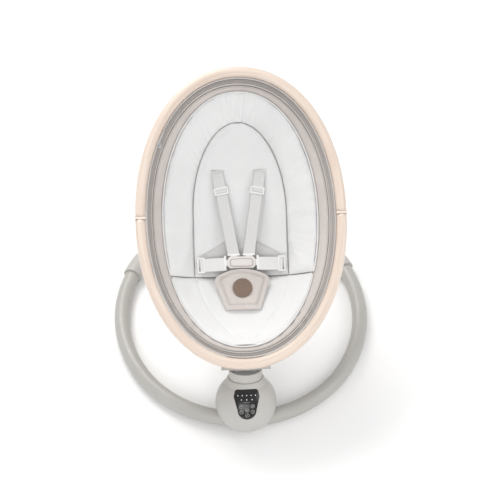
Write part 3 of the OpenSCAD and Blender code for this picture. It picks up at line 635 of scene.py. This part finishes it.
def rim_line(share_w, share_l, up, steps=360, start=0, sweep=360):
    """A line round the bowl at a share of its width and length, at a height above it."""
    line = []
    for i in range(steps):
        x, t = oval(BOWL_HW * share_w, BOWL_HL * share_l, start + sweep * i / steps)
        line.append(to_row(x, t, bowl_n(x, t) + up))
    return line


def zip_and_piping():
    tape_rings = []
    for i in range(240):
        deg = 1.5 * i
        ring = []
        for f in (0.0, 0.33, 0.66, 1.0):
            x, t = oval(BOWL_HW * (0.955 + 0.03 * f), BOWL_HL * (0.97 + 0.015 * f), deg)
            ring.append(to_row(x, t, bowl_n(x, t) + 3.1 - 0.5 * abs(2 * f - 1)))
        for f in (1.0, 0.0):
            x, t = oval(BOWL_HW * (0.955 + 0.03 * f), BOWL_HL * (0.97 + 0.015 * f), deg)
            ring.append(to_row(x, t, bowl_n(x, t) + 1.7))
        tape_rings.append(ring)
    tape = loft("zip_tape_cloth", tape_rings, MATS["grey_tape"], closed=True)
    finish_piece(tape, replaces=["zip_tape"])

    verts, faces = [], []
    teeth = 460
    for i in range(teeth):
        deg = 360 * i / teeth
        x, t = oval(BOWL_HW * 0.970, BOWL_HL * 0.9775, deg)
        x2, t2 = oval(BOWL_HW * 0.970, BOWL_HL * 0.9775, deg + 0.3)
        ahead = Vector((x2 - x, t2 - t)).normalized()
        side = Vector((ahead.y, -ahead.x))
        n = bowl_n(x, t) + 3.2
        first = len(verts)
        for dz, sc in ((0, 1.0), (1.0, 0.75)):
            for a, b in ((-1, -1), (1, -1), (1, 1), (-1, 1)):
                p = Vector((x, t)) + ahead * a * 0.75 * sc + side * b * 1.9 * sc
                verts.append(to_row(p.x, p.y, n + dz))
        faces += grid_faces(2, 4, wrap_cols=True, first=first)
        faces.append(tuple(first + j for j in range(4)))
        faces.append(tuple(first + 4 + j for j in range(4)))
    teeth_obj = new_object("zip_teeth_row", verts, faces, ZIP_TEETH, smooth=False)
    finish_piece(teeth_obj)

    for name, sw, sl, up, r, mat in (("rim_piping", 0.992, 0.9935, 1.6, 1.5, PIPING_LIGHT),
                                     ("zip_piping", 0.945, 0.962, 2.4, 1.6, PIPING_LIGHT),
                                     ("seam_line", 0.934, 0.953, 1.0, 0.9, PIPING_DARK)):
        cord = tube(name, rim_line(sw, sl, up), r * MM, mat, closed=True, sides=8)
        finish_piece(cord)
    for name, sw, sl in (("zip_stitches_outer", 0.984, 0.987), ("zip_stitches_inner", 0.922, 0.944)):
        run = stitches(name, rim_line(sw, sl, 3.3 if "outer" in name else 1.2), THREAD_GREY, 3.0, 1.6, 0.35)
        finish_piece(run)


def outer_seams():
    """Seams on the bowl's underside, where its cloth panels meet."""
    for name, x0 in (("under_seam_left", -82), ("under_seam_right", 82)):
        path = []
        for i in range(90):
            t = -235 + 470 * i / 89
            x = x0 * math.sqrt(max(0.0, 1 - (t / 262) ** 2)) * 1.0
            path.append(to_row(x, t, bowl_n(x, t) - 4.6))
        finish_piece(tube(name, path, 1.3 * MM, PIPING_LIGHT, sides=8))


fabric_bowl()
zip_and_piping()
outer_seams()


# ---- padded pieces ----
def take_mesh(obj):
    """The object's mesh with its modifiers applied."""
    graph = bpy.context.evaluated_depsgraph_get()
    mesh = bpy.data.meshes.new_from_object(obj.evaluated_get(graph))
    obj.modifiers.clear()
    obj.data = mesh
    for p in mesh.polygons:
        p.use_smooth = True


def subdivide(obj):
    m = obj.modifiers.new("fine", "SUBSURF")
    m.levels = m.render_levels = 1
    take_mesh(obj)


PAD_PRESSURE = 4.0
SIM_FRAMES = 20


def inflate(obj, cap):
    """Blows the pad up as cloth. Its underside stays, and no point moves more than cap mm."""
    rest = [v.co.copy() for v in obj.data.vertices]
    group = obj.vertex_groups.new(name="pin")
    group.add([i for i, co in enumerate(rest) if resting(*to_seat(co))], 1.0, "REPLACE")
    cloth_mod = obj.modifiers.new("cloth", "CLOTH")
    st = cloth_mod.settings
    st.quality = 4
    st.mass = 0.2
    st.tension_stiffness = st.compression_stiffness = 12
    st.shear_stiffness = 6
    st.bending_stiffness = 0.4
    st.use_pressure = True
    st.uniform_pressure_force = PAD_PRESSURE
    st.vertex_group_mass = "pin"
    st.effector_weights.gravity = 0
    cloth_mod.point_cache.frame_start, cloth_mod.point_cache.frame_end = 1, SIM_FRAMES
    for f in range(1, SIM_FRAMES + 1):
        bpy.context.scene.frame_set(f)
    take_mesh(obj)
    bpy.context.scene.frame_set(1)
    for v, co in zip(obj.data.vertices, rest):
        move = v.co - co
        if move.length > cap * MM:
            v.co = co + move.normalized() * cap * MM
    subdivide(obj)


def dent(obj, depth):
    """Moves each point along its normal by depth(x, t), in mm, where the pad faces up."""
    obj.data.update()
    normals = [v.normal.copy() for v in obj.data.vertices]
    for v, nrm in zip(obj.data.vertices, normals):
        facing = nrm.dot(SEAT_UP)
        if facing < 0.1:
            continue
        x, t, _ = to_seat(v.co)
        v.co += nrm * depth(x, t) * MM * min(1.0, facing / 0.4)
    obj.data.update()


def segment_distance(x, t, line):
    """Distance from (x, t) to a polyline, in mm."""
    best = 1e9
    p = Vector((x, t))
    for a, b in zip(line, line[1:]):
        a, b = Vector(a), Vector(b)
        ab = b - a
        f = max(0.0, min(1.0, (p - a).dot(ab) / ab.length_squared))
        best = min(best, (p - a - ab * f).length)
    return best


def closed_pad(name, rows, cols, top, low, mat):
    """Two grids of points joined all round their edge."""
    k = cols + 1
    size = len(top)
    faces = grid_faces(rows + 1, k) + grid_faces(rows + 1, k, first=size)
    edge = [j for j in range(k)] + [i * k + cols for i in range(1, rows + 1)]
    edge += [rows * k + j for j in range(cols - 1, -1, -1)] + [i * k for i in range(rows - 1, 0, -1)]
    m = len(edge)
    faces += [(edge[i], edge[(i + 1) % m], size + edge[(i + 1) % m], size + edge[i]) for i in range(m)]
    return new_object(name, top + low, faces, mat)


def pad_between(name, rows, cols, place, crown, mat):
    """A closed pad on the bowl.

    place(u, v) gives (x, t) for u and v from 0 to 1, and crown(u, v) the thickness there."""
    top, low = [], []
    for i in range(rows + 1):
        for j in range(cols + 1):
            u, v = i / rows, j / cols
            x, t = place(u, v)
            n = bowl_n(x, t) + PAD_GAP + 0.3
            low.append(to_row(x, t, n))
            top.append(to_row(x, t, n + crown(u, v)))
    return closed_pad(name, rows, cols, top, low, mat)


def resting(x, t, n):
    """True for a pad's underside, which stays on the bowl."""
    return n - bowl_n(x, t) < PAD_GAP + 2.0


def inlay_polar(x, t):
    """Angle and share of the way out to the inlay's edge."""
    share = ((abs(x) / INLAY_HW) ** OVAL_M + (abs(t) / INLAY_HL) ** OVAL_M) ** (1 / OVAL_M)
    return math.degrees(math.atan2(t / INLAY_HL, x / INLAY_HW)), share


def rim_cushion():
    def place(u, v):
        deg = -INLAY_LOW + (180 + 2 * INLAY_LOW) * u
        a, b = inlay_edge(deg), arch(deg)
        f = 0.01 + 0.98 * v
        return a[0] + (b[0] - a[0]) * f, a[1] + (b[1] - a[1]) * f

    def crown(u, v):
        end = min(1.0, min(u, 1 - u) / 0.012 + 0.35)
        return (2.0 + (RIM_PAD - 6.0) * math.sin(math.pi * (0.03 + 0.94 * v)) ** 0.7) * end

    obj = pad_between("rim_cushion", 300, 22, place, crown, MATS["white_fabric"])
    inflate(obj, cap=4.0)

    def creases(x, t):
        deg, share = inlay_polar(x, t)
        from_arch = abs(math.hypot(x / PANEL_HW, (t - ARCH_MID) / (PANEL_TOP - ARCH_MID)) - 1)
        inner = 0.0 if t < ARCH_MID else max(0.0, 1 - from_arch * 3.2)
        streak = noise.noise(Vector((deg * 0.17, share * 1.7, 1.3)))
        fine = noise.noise(Vector((deg * 0.45, share * 2.2, 8.1)))
        outer = math.exp(-(((share - 0.95) / 0.05) ** 2))
        return streak * 1.5 + fine * (0.5 + 0.9 * inner + 0.5 * outer)

    dent(obj, creases)
    return finish_piece(obj, replaces=["inlay_rim_cushion"])


def middle_panel():
    def place(u, v):
        t = INLAY_END + 0.6 + (PANEL_TOP - 2.5 - INLAY_END) * math.sin(math.pi / 2 * u)
        return (arch_hw(t) - 1.0) * (2 * v - 1), t

    def crown(u, v):
        side = 1 - abs(2 * v - 1) ** 6
        end = min(1.0, u / 0.05 + 0.4, (1 - u) / 0.04 + 0.3)
        return (1.6 + (MID_PAD - 3.4) * side) * end

    obj = pad_between("middle_panel", 120, 70, place, crown, MATS["white_fabric"])
    inflate(obj, cap=2.4)

    def creases(x, t):
        tug = math.exp(-(((t - SLOT[1]) / 26) ** 2)) * math.exp(-(((abs(x) - SLOT[0]) / 22) ** 2))
        long_fold = noise.noise(Vector((x * 0.045, t * 0.008, 5.2)))
        hips = math.exp(-(((t + 60) / 45) ** 2)) * noise.noise(Vector((x * 0.05, t * 0.03, 2.2)))
        return long_fold * 0.9 + hips * 1.6 - tug * 1.2

    dent(obj, creases)
    return finish_piece(obj, replaces=["inlay_panel"])


def leg_seam(side):
    """A curved seam of the leg panel, from its upper corner down towards the foot."""
    line = []
    for i in range(25):
        f = i / 24
        line.append((side * (97 - 72 * f + 14 * math.sin(math.pi * f)), -122 - 128 * f))
    return line


def leg_cushion():
    top_t = -(abs(INLAY_END) + 1.6)

    def place(u, v):
        t = top_t - (INLAY_HL - 3.0 - abs(top_t)) * math.sin(math.pi / 2 * u)
        hw = max(4.0, oval_hw(INLAY_HW, INLAY_HL, t) - 1.0)
        return hw * (2 * v - 1), t

    def crown(u, v):
        side = 1 - abs(2 * v - 1) ** 8
        end = min(1.0, u / 0.05 + 0.35, (1 - u) / 0.06 + 0.35)
        return (2.0 + (LEG_PAD - 4.2) * side) * end

    obj = pad_between("leg_cushion", 90, 90, place, crown, MATS["white_fabric"])
    inflate(obj, cap=2.6)
    seams = [leg_seam(1), leg_seam(-1)]

    def creases(x, t):
        d = min(segment_distance(x, t, s) for s in seams)
        puff = noise.noise(Vector((x * 0.018, t * 0.02, 9.4)))
        return puff * 1.4 - 1.6 * math.exp(-((d / 3.5) ** 2))

    dent(obj, creases)
    finish_piece(obj, replaces=["leg_panel"])
    for side, word in ((1, "right"), (-1, "left")):
        path = [to_row(x, t, bowl_n(x, t) + PAD_GAP + LEG_PAD - 0.9) for x, t in leg_seam(side)[1:-2]]
        finish_piece(stitches("leg_stitches_" + word, path, THREAD_WHITE))


def inlay_bindings():
    """Rolled edges round the inlay and along the seam of its middle panel."""
    sweep = 180 + 2 * INLAY_LOW
    outer, seam = [], []
    for i in range(301):
        deg = -INLAY_LOW + sweep * i / 300
        x, t = inlay_edge(deg)
        outer.append(to_row(x * 1.003, t * 1.002, bowl_n(x, t) + PAD_GAP + 2.6))
        x, t = arch(deg)
        seam.append(to_row(x * 1.004, t + 0.2, bowl_n(x, t) + PAD_GAP + 4.4))
    finish_piece(tube("inlay_binding", outer, 1.9 * MM, MATS["white_fabric"], sides=10))
    finish_piece(tube("panel_seam_line", seam, 0.55 * MM, FLAP_GREY, sides=6))
    low = []
    for i in range(121):
        deg = 180 + INLAY_LOW + 1.5 + (180 - 2 * INLAY_LOW - 3) * i / 120
        x, t = inlay_edge(deg)
        low.append(to_row(x * 1.003, t * 1.002, bowl_n(x, t) + PAD_GAP + 2.4))
    finish_piece(tube("leg_binding", low, 1.8 * MM, MATS["white_fabric"], sides=10))
    for k, f in enumerate((0.10, 0.90)):
        path = []
        for i in range(260):
            deg = -INLAY_LOW + sweep * (i + 2) / 264
            a, b = inlay_edge(deg), arch(deg)
            x, t = a[0] + (b[0] - a[0]) * f, a[1] + (b[1] - a[1]) * f
            top = (RIM_PAD - 4.6) * math.sin(math.pi * (0.03 + 0.94 * f)) ** 0.7
            path.append(to_row(x, t, bowl_n(x, t) + PAD_GAP + 2.6 + top))
        finish_piece(stitches(f"inlay_stitches_{k}", path, THREAD_WHITE))


rim_cushion()
middle_panel()
leg_cushion()
inlay_bindings()


# ---- harness ----
def strap(name, path, width, mat):
    """Flat webbing along a path of seat-frame points (x, t, n), with slightly fuller selvedges."""
    half = [(-width / 2, 0), (-width / 2 + 0.35, -0.5), (-width / 2 + 1.6, -0.5), (-width / 2 + 2.6, -0.42),
            (0, -0.42), (width / 2 - 2.6, -0.42), (width / 2 - 1.6, -0.5), (width / 2 - 0.35, -0.5)]
    section = half + [(-x, -z) for x, z in half]
    rings, lengths = [], [0.0]
    pts = [to_row(*p) for p in path]
    for i, p in enumerate(pts):
        ahead = (pts[min(i + 1, len(pts) - 1)] - pts[max(i - 1, 0)]).normalized()
        side = ahead.cross(SEAT_UP).normalized()
        lift = side.cross(ahead)
        rings.append([p + side * x * MM + lift * z * WEB_T * MM for x, z in section])
        if i:
            lengths.append(lengths[-1] + (p - pts[i - 1]).length)
    obj = loft(name, rings, mat)
    uv = obj.data.uv_layers.new(name="web")
    k = len(section)
    for loop in obj.data.loops:
        i, j = divmod(loop.vertex_index, k)
        uv.data[loop.index].uv = (lengths[i], section[j][0] * MM)
    smooth_shade(obj, 50)
    return obj


def mix(a, b, f):
    return tuple(p + (q - p) * f for p, q in zip(a, b))


STRAP_END = (16.5, BUCKLE_T + 17)
ADJUSTER_F = 0.24


def shoulder_path(side, shift=0.0, drop=0.0, f0=0.0, f1=1.0, steps=40):
    """The shoulder strap's line, from its slot (f 0) to the buckle (f 1)."""
    path = []
    for i in range(steps + 1):
        f = f0 + (f1 - f0) * i / steps
        x, t = mix(SLOT, STRAP_END, f)
        n = panel_top_n(x, t) + 1.2 + 18.8 * f + 4 * math.sin(math.pi * f) + WEB_T / 2 - drop
        path.append((side * (x + shift), t, n))
    return path


def local_axes(origin, ahead):
    """Returns a function from mm along (side, ahead, up) to the row frame, at a seat-frame point."""
    o = to_row(*origin)
    a = ahead.normalized()
    s = a.cross(SEAT_UP).normalized()
    u = s.cross(a)
    return lambda x, y, z: o + (s * x + a * y + u * z) * MM


def ladder_lock(name, origin, ahead, half_w, mat):
    """A three-bar strap adjuster."""
    axes = local_axes(origin, ahead)
    parts = []
    for s in (-1, 1):
        centre = (s * (half_w - 1.6), 0, 0)
        parts.append(rounded_block("p", centre, (1.6, 8.2, 2.3), mat, 1.4, 0.8, axes=axes))
    for y, z in ((-6.6, 1.4), (0.2, -0.6), (6.6, 1.4)):
        parts.append(rounded_block("p", (0, y, z), (half_w - 1.0, 1.55, 1.2), mat, 1.2, 0.7, axes=axes))
    return join(name, parts)


def slot_welt(name, side):
    """The bound slit that a shoulder strap comes out of, with painted shade in its opening."""
    hw, ht = 16.5, 2.0
    ring = []
    for i in range(48):
        x, t = oval(hw, ht, 360 * i / 48, 5)
        x, t = side * SLOT[0] + x, SLOT[1] + 2.5 + t
        ring.append(to_row(x, t, panel_top_n(x, t) + 0.2))
    welt = tube(name, ring, 1.1 * MM, MATS["white_fabric"], closed=True, sides=8)
    finish_piece(welt)
    # A dark sheet just below the slit's lips paints the shade in its opening.
    inner = []
    for up in (-0.6, 0.0):
        ring = []
        for i in range(32):
            x, t = oval(hw - 0.6, ht - 0.5, 360 * i / 32, 5)
            n = panel_top_n(side * SLOT[0] + x, SLOT[1] + t) + up
            ring.append(to_row(side * SLOT[0] + x, SLOT[1] + 2.5 + t, n))
        inner.append(ring)
    finish_piece(loft(name + "_gap", inner, PAINTED_SHADE_CLOTH))


def shoulder(side, word):
    main = shoulder_path(side)
    x0, t0, n0 = main[0]
    entry = [(x0, t0 + 3.5, n0 - 3.2), (x0, t0 + 2.0, n0 - 1.0)]
    lower = strap("shoulder_web_" + word, entry + main, WEB_W, MATS["webbing"])
    finish_piece(lower, replaces=["shoulder_strap_" + word])
    tail_path = shoulder_path(side, 5.0, 3.4, ADJUSTER_F, 0.80)
    tail = strap("shoulder_tail_" + word, tail_path, WEB_W - 1, MATS["webbing"])
    finish_piece(tail)
    loop_path = shoulder_path(side, 0.6, -2.1, 0.02, ADJUSTER_F)
    double = strap("shoulder_loop_" + word, loop_path, WEB_W - 0.6, MATS["webbing"])
    finish_piece(double)
    a, b = (to_row(*p) for p in shoulder_path(side, 0, 0, ADJUSTER_F - 0.03, ADJUSTER_F + 0.03, 1))
    here = shoulder_path(side, 0, -0.8, ADJUSTER_F, ADJUSTER_F, 1)[0]
    lock = ladder_lock("strap_adjuster_" + word, here, b - a, WEB_W / 2 + 3, MATS["white_plastic"])
    finish_piece(lock, replaces=["strap_adjusters"])
    slot_welt("slot_welt_" + word, side)
    box = ((-9, 0), (9, 0), (9, -6), (-9, -6), (-9, 0))
    tack = [(side * SLOT[0] + dx, SLOT[1] - 9 + dt) for dx, dt in box]
    rows = [to_row(x, t, panel_top_n(x, t) + 1.2 + WEB_T + 3.4) for x, t in tack]
    finish_piece(stitches("bar_tack_" + word, rows, THREAD_WHITE, 2.2, 1.0, 0.3))


WAIST_OUT, WAIST_IN = (88, BUCKLE_T - 4), (34, BUCKLE_T - 3)
WAIST_W = 29


def waist_path(side, steps=24, extra=0.0):
    path = []
    for i in range(steps + 1):
        f = i / steps
        x, t = mix(WAIST_OUT, WAIST_IN, f)
        n = panel_top_n(x, t) + 8 + 11 * f + 2 * math.sin(math.pi * f) + WEB_T / 2 + extra
        path.append((side * x, t, n))
    return path


def hip_flap(name, side):
    """The soft wedge of cloth between a shoulder strap and its waist strap."""
    top_in, top_out = (27, BUCKLE_T + 52), (84, BUCKLE_T + 20)
    low_in, low_out = (29, BUCKLE_T - 12), (90, BUCKLE_T - 16)
    rows, cols = 14, 14

    def place(u, v):
        x, t = mix(mix(top_in, low_in, u), mix(top_out, low_out, u), v)
        t -= 6 * math.sin(math.pi * v) * u
        return side * x, t

    top, low = [], []
    for i in range(rows + 1):
        for j in range(cols + 1):
            u, v = i / rows, j / cols
            x, t = place(u, v)
            swell = (math.sin(math.pi * u) * math.sin(math.pi * v)) ** 0.5
            lift = 2.2 + 3.0 * (1 - v)
            base = panel_top_n(x, t) + lift
            top.append(to_row(x, t, base + 1.2 + 2.0 * swell + 0.5 * ripple(x * 3, t * 3)))
            low.append(to_row(x, t, base))
    obj = closed_pad(name, rows, cols, top, low, FLAP_GREY)
    subdivide(obj)
    finish_piece(obj)


def waist(side, word):
    obj = strap("waist_web_" + word, waist_path(side), WAIST_W, WAIST_WHITE)
    finish_piece(obj, replaces=["waist_strap_" + word])
    path = waist_path(side)
    end = path[1]
    a, b = to_row(*path[0]), to_row(*path[2])
    origin = (end[0] + side * 2.5, end[1], end[2])
    loop = ladder_lock("waist_adjuster_" + word, origin, b - a, WAIST_W / 2 + 2.6, MATS["white_plastic"])
    finish_piece(loop, replaces=["waist_adjusters"])
    hip_flap("hip_flap_" + word, side)


for side, word in ((1, "right"), (-1, "left")):
    shoulder(side, word)
    waist(side, word)


# ---- crotch pad and buckle ----
CROTCH_FROM, CROTCH_L, CROTCH_TH, CROTCH_ARCH = BUCKLE_T - 15, 90, 9, 12


def crotch_hw(f):
    return 49 + 10.5 * math.sin(math.radians(min(90, 450 * f))) - 27.5 * max(0.0, f - 0.2)


def crotch_up(x, t, f):
    return bowl_n(x / 3, t) + PAD_GAP + LEG_PAD + 3.5 + (BUCKLE_LIFT - 3) * (1 - f) ** 1.4


def crotch_place(f, w):
    """(x, t, height of the underside) at share f of the length and w of the half-width, -1 to 1."""
    x = crotch_hw(f) * w
    t = CROTCH_FROM - CROTCH_L * f
    n = crotch_up(x, t, f)
    return x, t - CROTCH_ARCH * w * w * (1 - f) ** 2, n


def crotch_pad():
    rows, k = 60, 40
    rings = []
    for i in range(rows + 1):
        f = i / rows
        g = 0.5 - 0.5 * math.cos(math.pi * f)
        end = min(1.0, f / 0.07, (1 - f) / 0.07)
        end = math.sqrt(max(0.0, 1 - (1 - end) ** 2)) * 0.75 + 0.25
        ring = []
        for j in range(k):
            q = 2 * math.pi * j / k
            w = signed_pow(math.cos(q), 0.8)
            h = signed_pow(math.sin(q), 0.75)
            x, t, n = crotch_place(g, w * 0.985)
            puff = 1 - 0.25 * abs(w) ** 3
            ring.append(to_row(x, t, n + CROTCH_TH / 2 + h * (CROTCH_TH / 2 - 0.4) * end * puff))
        rings.append(ring)
    pad = loft("crotch_cushion", rings, MATS["grey_fabric"])
    inner = [(-0.80, 0.16), (-0.79, 0.35), (-0.76, 0.6), (-0.72, 0.86), (0.72, 0.86), (0.76, 0.6),
             (0.79, 0.35), (0.80, 0.16), (0.4, 0.10), (0, 0.085), (-0.4, 0.10), (-0.80, 0.16)]
    line = []
    for (w0, f0), (w1, f1) in zip(inner, inner[1:]):
        for i in range(10):
            w, f = w0 + (w1 - w0) * i / 10, f0 + (f1 - f0) * i / 10
            line.append(crotch_place(f, w))

    def sewn(x, t):
        d = min(math.hypot(x - a, t - b) for a, b, _ in line)
        return -1.3 * math.exp(-((d / 2.6) ** 2)) + 0.5 * ripple(x * 2, t * 2)

    subdivide(pad)
    dent(pad, sewn)
    finish_piece(pad, replaces=["crotch_pad"])
    top = CROTCH_TH - 1.0
    cord = [to_row(x, t, n + top) for x, t, n in line]
    finish_piece(tube("crotch_piping", cord, 0.9 * MM, PIPING_LIGHT, closed=True, sides=8))
    edge = []
    sides = ((-1, -1, 0.04, 0.97), (-1, 1, 0.97, 0.97), (1, 1, 0.97, 0.04), (1, -1, 0.04, 0.04))
    for w0, w1, f0, f1 in sides:
        for i in range(24):
            edge.append(crotch_place(f0 + (f1 - f0) * i / 24, (w0 + (w1 - w0) * i / 24) * 0.99))
    finish_piece(tube("crotch_edge", [to_row(x, t, n + CROTCH_TH / 2) for x, t, n in edge], 1.3 * MM,
                      PIPING_LIGHT, closed=True, sides=8))


def badge():
    """A plain round felt badge with two sewn rings and no device."""
    low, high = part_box("crotch_badge")
    centre = (Vector(low) + Vector(high)) / 2
    cx, ct, cn = to_seat(centre)
    r = 21.5

    def spot(radius, deg, up):
        x, t = radius * math.cos(math.radians(deg)), radius * math.sin(math.radians(deg))
        return to_row(cx + x, ct + t, cn + up + t * SLOPE)

    heights = [(r - 0.5, -0.6), (r, -0.1), (r - 0.4, 0.5), (r - 2, 0.75), (r * 0.6, 0.85), (r * 0.25, 0.9),
               (1, 0.9)]
    rings = [[spot(rad, 6 * i, up) for i in range(60)] for rad, up in heights]
    finish_piece(loft("round_badge", rings, MATS["badge"]), replaces=["crotch_badge"])
    for k, (rad, dash) in enumerate(((19, 2.4), (12.5, 1.6), (5, 1.0))):
        line = [spot(rad, 5 * i, 1.0) for i in range(73)]
        finish_piece(stitches(f"badge_stitches_{k}", line, PIPING_DARK, dash, 0.7, 0.5))


def badge_slope():
    low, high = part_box("crotch_badge")
    t = to_seat((Vector(low) + Vector(high)) / 2)[1]
    angle = math.degrees(math.atan((bowl_n(0, t + 2) - bowl_n(0, t - 2)) / 4)) + 10
    return math.tan(math.radians(angle))


SLOPE = badge_slope()


def buckle():
    n0 = panel_top_n(0, BUCKLE_T) + BUCKLE_LIFT
    mat, key = MATS["buckle_grey"], MATS["white_plastic"]
    body = rounded_block("buckle_case", (0, BUCKLE_T, n0 + 1), (30, 13, 6), mat, 7.5, 2.0, crown=0.6)
    finish_piece(body, replaces=["buckle_body"])
    # A thin dark cord round the press button paints the shade in the groove between it and the case.
    rim = []
    for i in range(72):
        x, t = oval(24.6, 8.4, 5 * i, 5)
        rim.append(to_row(x, BUCKLE_T - 1 + t, n0 + 7.25))
    finish_piece(tube("buckle_groove_shade", rim, 0.45 * MM, PAINTED_SHADE_CLOTH, closed=True, sides=6))
    press = rounded_block("buckle_press", (0, BUCKLE_T - 1, n0 + 6.6), (23.4, 6.5, 1.6), mat, 5.5, 0.9,
                          crown=0.4)
    finish_piece(press, body="buckle_button", replaces=["buckle_button"])
    parts = []
    for s in (-1, 1):
        parts.append(rounded_block("p", (s * 27.4, BUCKLE_T, n0 + 1), (6.2, 6.8, 1.8), key, 2.0, 0.7))
        end = (2.4, WAIST_W / 2 + 1, 1.9)
        parts.append(rounded_block("p", (s * 35.5, BUCKLE_T, n0 + 1), end, key, 1.6, 0.8))
        parts.append(rounded_block("p", (s * 16.5, BUCKLE_T + 11.5, n0 + 1), (7.8, 5.0, 1.8), key, 2.0, 0.7))
        bar = (WEB_W / 2 + 1.2, 2.2, 1.9)
        parts.append(rounded_block("p", (s * 16.5, BUCKLE_T + 17.5, n0 + 1), bar, key, 1.6, 0.8))
    finish_piece(join("buckle_prongs", parts), replaces=["buckle_tongues"])


crotch_pad()
badge()
buckle()


# ---- zip slider ----
def zip_pull():
    x2, t2 = oval(BOWL_HW * 0.97, BOWL_HL * 0.9775, 152)
    x1, t1 = oval(BOWL_HW * 0.97, BOWL_HL * 0.9775, 149)
    n1 = bowl_n(x1, t1) + 5.4
    ahead = to_row(x2, t2, bowl_n(x2, t2)) - to_row(x1, t1, bowl_n(x1, t1))
    axes = local_axes((x1, t1, n1), ahead)
    steel = MATS["steel"]
    parts = [rounded_block("p", (0, 0, 0), (3.6, 5.6, 1.9), steel, 2.2, 0.8, axes=axes, crown=0.6),
             rounded_block("p", (0, -1.0, 2.6), (1.1, 3.2, 1.0), steel, 0.9, 0.4, axes=axes),
             rounded_block("p", (2.0, -11.5, 2.2), (2.4, 9.0, 0.8), steel, 2.0, 0.5, axes=axes)]
    finish_piece(join("zip_slider_body", parts), replaces=["zip_slider"])
    tab = rounded_block("zip_pull_tab", (3.4, -25.0, 1.6), (3.2, 9.5, 0.9), PIPING_LIGHT, 2.6, 0.6, axes=axes)
    finish_piece(tab)


zip_pull()


# ---- control panel print ----
PANEL_TILT = math.radians(49)
POD_R = 66 * MM
KEYS = {"button_power": (0, -11.6), "button_sway": (-12.1, -3.4), "button_timer": (12.1, -3.4),
        "button_music": (-12.1, -15.6), "button_volume": (12.1, -15.6), "button_sound": (0, -22.6)}


def pod_centre():
    for joint in frame["joints"]:
        if joint["name"] == "swing":
            return Vector(joint["pos_m"])


POD_C = pod_centre()


def on_panel(x, y, up):
    """A place over the control panel, in mm across and up it, at a height in mm above the pod's skin."""
    r = POD_R + up * MM
    z = math.sqrt(r * r - (x * x + y * y) * MM * MM)
    lift = math.pi / 2 - PANEL_TILT
    c, s = math.cos(lift), math.sin(lift)
    return POD_C + Vector((x * MM, y * MM * c - z * s, y * MM * s + z * c))


def printed_line(name, points, up, width, body):
    path = [on_panel(x, y, up) for x, y in points]
    obj = tube(name, path, width / 2 * MM, PRINT, sides=6)
    return finish_piece(obj, body=body)


def arc(cx, cy, r, start, sweep, steps=24):
    return [(cx + r * math.cos(math.radians(start + sweep * i / steps)),
             cy + r * math.sin(math.radians(start + sweep * i / steps))) for i in range(steps + 1)]


def panel_print():
    """A ring and a plain sign on each button, and a short line under the lights."""
    up = 1.45
    for name, (x, y) in KEYS.items():
        printed_line(name + "_ring", arc(x, y, 3.9, 0, 360, 36), up, 0.45, name)
    x, y = KEYS["button_power"]
    printed_line("sign_power_arc", arc(x, y, 1.9, 125, 290), up, 0.5, "button_power")
    printed_line("sign_power_bar", [(x, y + 0.5), (x, y + 2.3)], up, 0.5, "button_power")
    x, y = KEYS["button_sway"]
    for k, r in enumerate((1.2, 2.4)):
        printed_line(f"sign_sway_{k}", arc(x, y - 1.2, r, 30, 120), up, 0.5, "button_sway")
    x, y = KEYS["button_timer"]
    printed_line("sign_timer_face", arc(x, y, 1.9, 0, 360), up, 0.4, "button_timer")
    printed_line("sign_timer_hands", [(x, y + 1.3), (x, y), (x + 0.9, y)], up, 0.4, "button_timer")
    x, y = KEYS["button_music"]
    note = [(x - 0.9, y - 1.6), (x - 0.9, y + 1.6), (x + 1.2, y + 1.9), (x + 1.2, y - 1.2)]
    printed_line("sign_music", note, up, 0.5, "button_music")
    x, y = KEYS["button_volume"]
    for k, h in enumerate((0.8, 1.5, 2.2)):
        bar_x, low = x - 1.4 + 1.4 * k, y - 1.4
        printed_line(f"sign_volume_{k}", [(bar_x, low), (bar_x, low + h)], up, 0.6, "button_volume")
    x, y = KEYS["button_sound"]
    printed_line("sign_sound", arc(x, y, 1.3, -60, 120) + [(x - 1.2, y)], up, 0.4, "button_sound")
    printed_line("panel_bar", [(-6.7 + 1.34 * i, 5.1) for i in range(11)], 0.95, 0.45, "base")


panel_print()


# ---- floor and light ----
def area_light(name, place, aim, size, watts, color=(1, 1, 1)):
    light = bpy.data.lights.new(name, "AREA")
    light.shape = "RECTANGLE"
    light.size, light.size_y = size
    light.energy = watts
    light.color = color
    obj = bpy.data.objects.new(name, light)
    obj.location = place
    obj.rotation_euler = (Vector(place) - Vector(aim)).to_track_quat("Z", "Y").to_euler()
    bpy.context.scene.collection.objects.link(obj)


def studio():
    s = Shader("studio_floor", (0.93, 0.93, 0.93), 0.9, spec=0.1)
    v = s.coords()
    s.tint(s.noise(v, 3, 3), (0.925, 0.925, 0.925), (0.94, 0.94, 0.94))
    corners = [(-6, -6, 0), (6, -6, 0), (6, 6, 0), (-6, 6, 0)]
    floor = new_object("floor", corners, [(0, 1, 2, 3)], s.mat, False)
    floor.location.z = -0.0005
    area_light("key", (-0.9, 1.5, 2.3), (0, 0.05, 0.25), (1.5, 1.2), 42, (1, 0.99, 0.97))
    area_light("fill_right", (2.2, -0.6, 1.7), (0, 0, 0.3), (1.4, 1.4), 13)
    area_light("fill_front", (-0.4, -2.4, 1.5), (0, -0.1, 0.2), (1.8, 1.2), 24)
    world = bpy.data.worlds.new("studio")
    bpy.context.scene.world = world
    world.use_nodes = True
    back = world.node_tree.nodes["Background"]
    back.inputs["Color"].default_value = (1, 1, 1, 1)
    back.inputs["Strength"].default_value = 0.7
    bpy.context.scene.view_settings.view_transform = "Standard"


studio()
